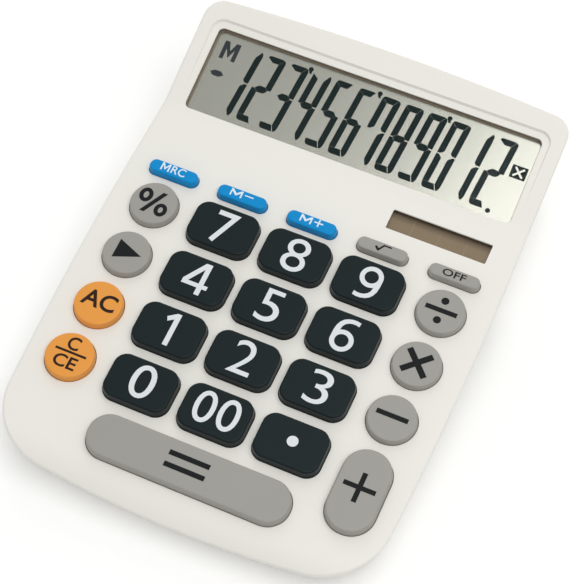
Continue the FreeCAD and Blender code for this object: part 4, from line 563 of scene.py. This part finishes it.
def crystal(name, colour, second_colour):
    """Liquid crystal seen through the film: dark, a little blue-green and without gloss."""
    material, tree = new_tree(name)
    place = add_node(tree, "ShaderNodeTexCoord")
    haze = add_node(tree, "ShaderNodeTexNoise", values={"Scale": 1 / (0.5 * MM), "Detail": 2.0},
                    links={"Vector": place.outputs["Object"]})
    tone = add_node(tree, "ShaderNodeMix", settings={"data_type": "RGBA"},
                    values={MIX_FIRST: to_linear(colour), MIX_SECOND: to_linear(second_colour)},
                    links={MIX_SHARE: haze.outputs["Fac"]})
    spread = add_node(tree, "ShaderNodeMapRange", values={"To Min": 0.4, "To Max": 0.5},
                      links={"Value": haze.outputs["Fac"]})
    dark = add_node(tree, "ShaderNodeBsdfPrincipled", values={"Specular IOR Level": 0.0},
                    links={"Base Color": tone.outputs[MIX_COLOUR],
                           "Roughness": spread.outputs[0]})
    add_node(tree, "ShaderNodeOutputMaterial", links={"Surface": dark.outputs[0]})
    return material


dark_crystal = crystal("liquid_crystal_dark", "#1D2829", "#273334")
faint_crystal = crystal("liquid_crystal_faint", "#3C4147", "#464B50")

# The seven strokes of an upright digit, each as its corners in mm. The digit is 6.25 wide. Its
# left strokes reach from 0 to 2.08 and its right strokes from 4.18 to 6.25.
STROKES = {
    "a": [(0.1, 25.95), (2.05, 24.55), (4.25, 24.55), (5.3, 26.5), (4.9, 26.62), (0.9, 26.62),
          (0.35, 26.4)],
    "b": [(4.18, 15.95), (4.9, 15.1), (6.25, 15.05), (6.25, 25.4), (6.05, 26.0), (5.6, 26.45),
          (5.38, 26.5), (4.3, 24.5), (4.18, 24.45)],
    "c": [(4.18, 4.75), (5.3, 2.75), (5.75, 2.95), (6.1, 3.6), (6.25, 4.4), (6.25, 14.6),
          (5.35, 14.65), (4.18, 13.5)],
    "d": [(0.15, 4.5), (0.35, 3.5), (0.8, 2.9), (1.3, 2.7), (5.05, 2.7), (3.93, 4.82), (0.2, 4.82)],
    "e": [(0, 4.88), (2.08, 4.88), (2.08, 13.55), (0.9, 14.65), (0, 14.65)],
    "f": [(0, 15.0), (0.98, 15.0), (2.08, 15.93), (2.08, 24.48), (0.05, 25.9)],
    "g": [(0.88, 14.78), (2.1, 13.58), (4.18, 13.58), (5.28, 14.68), (4.16, 15.85), (2.1, 15.9)],
}
LIT = {"1": "bc", "2": "abged", "3": "abgcd", "4": "fgbc", "5": "afgcd", "6": "afgecd",
       "7": "fabc", "8": "abcdefg", "9": "abcdfg", "0": "abcdef"}
SHOWN = "123456789012"
DIGIT_PITCH = 7.92
FIRST_DIGIT = -45.48
# The digits lean to the right about a level in their upper half.
SLANT = 0.088
SLANT_LEVEL = 20.0
CORNER_EASE = 0.1
DOT_RADIUS = 0.8
GROUP_MARKS = (-22.5, 1.3, 25.0)
GROUP_MARK_Y = 26.8


def stroke_shape(corners, start):
    """One stroke, slanted to the right, with its corners eased."""
    slanted = [(start + x + SLANT * (y - SLANT_LEVEL), y) for x, y in corners]
    shape = bmesh.new()
    face = shape.faces.new([shape.verts.new((x, y, -0.5)) for x, y in slanted])
    bmesh.ops.bevel(shape, geom=face.verts[:], offset=CORNER_EASE, offset_type="OFFSET",
                    segments=2, profile=0.5, affect="VERTICES", material=-1)
    raised = bmesh.ops.extrude_face_region(shape, geom=shape.faces[:])["geom"]
    upper = [part for part in raised if isinstance(part, bmesh.types.BMVert)]
    bmesh.ops.translate(shape, verts=upper, vec=(0, 0, 1))
    bmesh.ops.recalc_face_normals(shape, faces=shape.faces)
    return shape


def drop_shape(x, y):
    """The small mark between groups of three: a dot whose lower side is drawn to a point."""
    shape = disc_shape(x, y, DOT_RADIUS)
    lowest = min(v.co.y for v in shape.verts)
    tail = [v for v in shape.verts if v.co.y < lowest + 0.12]
    bmesh.ops.translate(shape, verts=tail, vec=(0.35, -0.7, 0))
    return shape


digits = []
for place_number, digit in enumerate(SHOWN):
    for stroke in LIT[digit]:
        digits.append(stroke_shape(STROKES[stroke], FIRST_DIGIT + DIGIT_PITCH * place_number))
for x in GROUP_MARKS:
    digits.append(drop_shape(x, GROUP_MARK_Y))
digits.append(disc_shape(47.1, 2.6, DOT_RADIUS))
digits.append(bar_shape(49.0, 54.1, 15.35, 19.7))
lay_shapes("display_digits", digits, WINDOW, FILM_TOP - STROKE_DEPTH, FILM_TOP + STROKE_DEPTH,
           dark_crystal, "housing")
minus = stroke_shape([(-52.4, 14.9), (-51.2, 13.9), (-49.0, 13.9), (-47.8, 14.9), (-49.0, 15.9),
                      (-51.2, 15.9)], 0)
lay_shapes("display_memory_marks", [letter_m(-52.3, -46.8, 20.2, 26.5, 1.35), minus],
           WINDOW, FILM_TOP - STROKE_DEPTH, FILM_TOP + STROKE_DEPTH, faint_crystal, "housing")
# The cross is a clear place in the last mark, so it is film that stands a little higher.
CROSS_TOP = FILM_TOP + 0.05
lay_shapes("display_cross", [cross_shape(51.55, 17.55, 4.3, 4.3, 0.65, math.radians(44))],
           WINDOW, FILM_TOP, CROSS_TOP, polariser, "housing")


# The clear windows
# The display's lens and the strip over the solar cell are injection moulded in clear acrylic
# with polished faces and a thin coat against glare. Only their faint reflection shows, stronger
# at a low angle.

acrylic, tree = new_tree("acrylic_clear_polished")
place = add_node(tree, "ShaderNodeTexCoord")
# Moulded acrylic has slow ripples some 20 mm across.
ripple = add_node(tree, "ShaderNodeTexNoise", values={"Scale": 1 / (20 * MM), "Detail": 1.0},
                  links={"Vector": place.outputs["Object"]})
bump = add_node(tree, "ShaderNodeBump", values={"Strength": 0.05, "Distance": 0.02 * MM},
                links={"Height": ripple.outputs["Fac"]})
edge = add_node(tree, "ShaderNodeFresnel", values={"IOR": 1.22}, links={"Normal": bump.outputs[0]})
# A ray that leaves the window from inside passes freely, so the display stays clear from low angles.
side = add_node(tree, "ShaderNodeNewGeometry")
outer = add_node(tree, "ShaderNodeMath", settings={"operation": "SUBTRACT"}, values={0: 1.0},
                 links={1: side.outputs["Backfacing"]})
mirrored = add_node(tree, "ShaderNodeMath", settings={"operation": "MULTIPLY"},
                    links={0: edge.outputs[0], 1: outer.outputs[0]})
through = add_node(tree, "ShaderNodeBsdfTransparent", values={"Color": to_linear("#FAFBF9")})
gloss = add_node(tree, "ShaderNodeBsdfGlossy", values={"Roughness": 0.1},
                 links={"Normal": bump.outputs[0]})
lens = add_node(tree, "ShaderNodeMixShader",
                links={0: mirrored.outputs[0], 1: through.outputs[0], 2: gloss.outputs[0]})
add_node(tree, "ShaderNodeOutputMaterial", links={"Surface": lens.outputs[0]})
for node in ("display_window", "solar_window"):
    dress(node, acrylic)


# The solar cell
# Amorphous silicon on glass: a brown layer in four strips, parted by fine scribed lines, seen
# through the glass on which it was laid down.

STRIPS = 4
# A scribed line is 0.1 mm wide, drawn at 0.3 mm so that it shows.
SCRIBED_LINE = 0.3
# Painted shade: the cell is darkened towards its rear edge, where the opening's rear wall
# shades it. These are the distances from that edge at which it begins and at which it has its
# full tone.
PAINTED_SHADE_START = 4.0
PAINTED_SHADE_FULL = 0.9

cell, tree = new_tree("amorphous_silicon_on_glass")
place = add_node(tree, "ShaderNodeTexCoord")
# The layer's thickness, and so its tone, changes over some 11 mm.
cloud = add_node(tree, "ShaderNodeTexNoise", values={"Scale": 90.0, "Detail": 3.0},
                 links={"Vector": place.outputs["Object"]})
brown = add_node(tree, "ShaderNodeMix", settings={"data_type": "RGBA"},
                 values={MIX_FIRST: to_linear("#8E7A64"), MIX_SECOND: to_linear("#98846D")},
                 links={MIX_SHARE: cloud.outputs["Fac"]})
solar_low, solar_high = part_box("solar_cell")
strip = (solar_high[0] - solar_low[0]) / STRIPS
apart = add_node(tree, "ShaderNodeSeparateXYZ", links={0: place.outputs["Object"]})
from_left = add_node(tree, "ShaderNodeMath", settings={"operation": "SUBTRACT"},
                     values={1: solar_low[0] + strip / 2}, links={0: apart.outputs["X"]})
to_line = add_node(tree, "ShaderNodeMath", settings={"operation": "PINGPONG"},
                   values={1: strip / 2}, links={0: from_left.outputs[0]})
line = add_node(tree, "ShaderNodeMath", settings={"operation": "GREATER_THAN"},
                values={1: strip / 2 - SCRIBED_LINE / 2 * MM}, links={0: to_line.outputs[0]})
surface = add_node(tree, "ShaderNodeMix", settings={"data_type": "RGBA"},
                   values={MIX_SECOND: to_linear("#9C8972")},
                   links={MIX_SHARE: line.outputs[0], MIX_FIRST: brown.outputs[MIX_COLOUR]})
# Painted shade, darkest at the rear edge and fading towards the front.
cover = add_node(tree, "ShaderNodeMapRange",
                 values={"From Min": solar_high[1] - PAINTED_SHADE_START * MM,
                         "From Max": solar_high[1] - PAINTED_SHADE_FULL * MM},
                 links={"Value": apart.outputs["Y"]})
painted_shade = add_node(tree, "ShaderNodeMix", settings={"data_type": "RGBA"},
                     values={MIX_SECOND: to_linear("#55453A")},
                     links={MIX_SHARE: cover.outputs[0], MIX_FIRST: surface.outputs[MIX_COLOUR]})
silicon = add_node(tree, "ShaderNodeBsdfPrincipled", values={"IOR": 1.52, "Roughness": 0.22},
                   links={"Base Color": painted_shade.outputs[MIX_COLOUR]})
add_node(tree, "ShaderNodeOutputMaterial", links={"Surface": silicon.outputs[0]})
dress("solar_cell", cell)


# The parts inside and underneath
# The casing hides these, or they lie under it. Each still has the finish of the real part, for
# views from below and views that open the casing.

# How far such a finish's roughness strays either way
FINISH_UNEVENNESS = 0.05


def plain_finish(name, colour, second_colour, grain, roughness, metallic=0.0, ior=1.5, depth=0.0):
    """A finish with one small mottle, for a part that is cast, rolled or plated. The mottle's
    spacing and depth are in mm."""
    material, tree = new_tree(name)
    place = add_node(tree, "ShaderNodeTexCoord")
    mottle = add_node(tree, "ShaderNodeTexNoise", values={"Scale": 1 / (grain * MM), "Detail": 3.0},
                      links={"Vector": place.outputs["Object"]})
    tone = add_node(tree, "ShaderNodeMix", settings={"data_type": "RGBA"},
                    values={MIX_FIRST: to_linear(colour), MIX_SECOND: to_linear(second_colour)},
                    links={MIX_SHARE: mottle.outputs["Fac"]})
    bump = add_node(tree, "ShaderNodeBump", values={"Strength": 0.4, "Distance": depth * MM},
                    links={"Height": mottle.outputs["Fac"]})
    sheen = add_node(tree, "ShaderNodeMapRange",
                     values={"To Min": roughness - FINISH_UNEVENNESS,
                             "To Max": roughness + FINISH_UNEVENNESS},
                     links={"Value": mottle.outputs["Fac"]})
    body = add_node(tree, "ShaderNodeBsdfPrincipled", values={"IOR": ior, "Metallic": metallic},
                    links={"Base Color": tone.outputs[MIX_COLOUR],
                           "Roughness": sheen.outputs[0], "Normal": bump.outputs[0]})
    add_node(tree, "ShaderNodeOutputMaterial", links={"Surface": body.outputs[0]})
    return material


dress("lcd_glass", plain_finish("soda_lime_glass", "#B9BDB2", "#C0C4B9", 4.0, 0.1))
dress("lcd_reflector", plain_finish("aluminised_film", "#C9C9C4", "#D2D2CE", 0.5, 0.35,
                                    metallic=0.9))
# Partly painted shade: the tape and the frame are real parts, and their brown tone also stands in
# for the shade in the gap round the display's edge.
dress("window_tape", plain_finish("foam_tape_painted_shade", "#75675A", "#7F7164", 0.4, 0.8, depth=0.05))
dress("display_frame", plain_finish("abs_frame_painted_shade", "#93816F", "#9C8B7A", 0.5, 0.55, depth=0.02))
dress("display_ribbon", plain_finish("polyimide_film", "#A9761F", "#B5822A", 1.5, 0.3))
dress("key_mat", plain_finish("silicone_rubber", "#C9C9C4", "#D0D0CC", 2.0, 0.6, ior=1.41))
dress("main_board", plain_finish("phenolic_paper_board", "#A97F3E", "#B98E4B", 1.0, 0.45))
dress("chip_cover", plain_finish("epoxy_black_poured", "#0D0D0E", "#141415", 1.0, 0.2))
dress("capacitors", plain_finish("ceramic_dipped_tan", "#A57B4B", "#B1875A", 0.8, 0.4))
dress("resistors", plain_finish("carbon_film_lacquer", "#C2A57A", "#CCB088", 0.6, 0.35))
dress("solar_leads", plain_finish("pvc_wire_red", "#9E1B17", "#AA241F", 0.8, 0.4))
dress("battery_leads", plain_finish("pvc_wire_black", "#151515", "#1E1E1E", 0.8, 0.4))
for node in ("frame_screws", "board_screws", "case_screws"):
    dress(node, plain_finish("steel_zinc_plated", "#B9BBBE", "#C6C8CA", 0.4, 0.3, metallic=1.0))
for node in ("battery_plus_contact", "battery_minus_contact"):
    dress(node, plain_finish("spring_steel_nickel_plated", "#C7C2B6", "#D0CBBF", 0.8, 0.22,
                             metallic=1.0))
dress("battery_cell", plain_finish("printed_foil_sleeve", "#26282B", "#2C2E32", 1.0, 0.3))
dress("rubber_feet", plain_finish("rubber_dark_moulded", "#2A2A29", "#333332", 0.5, 0.75,
                                  depth=0.03))
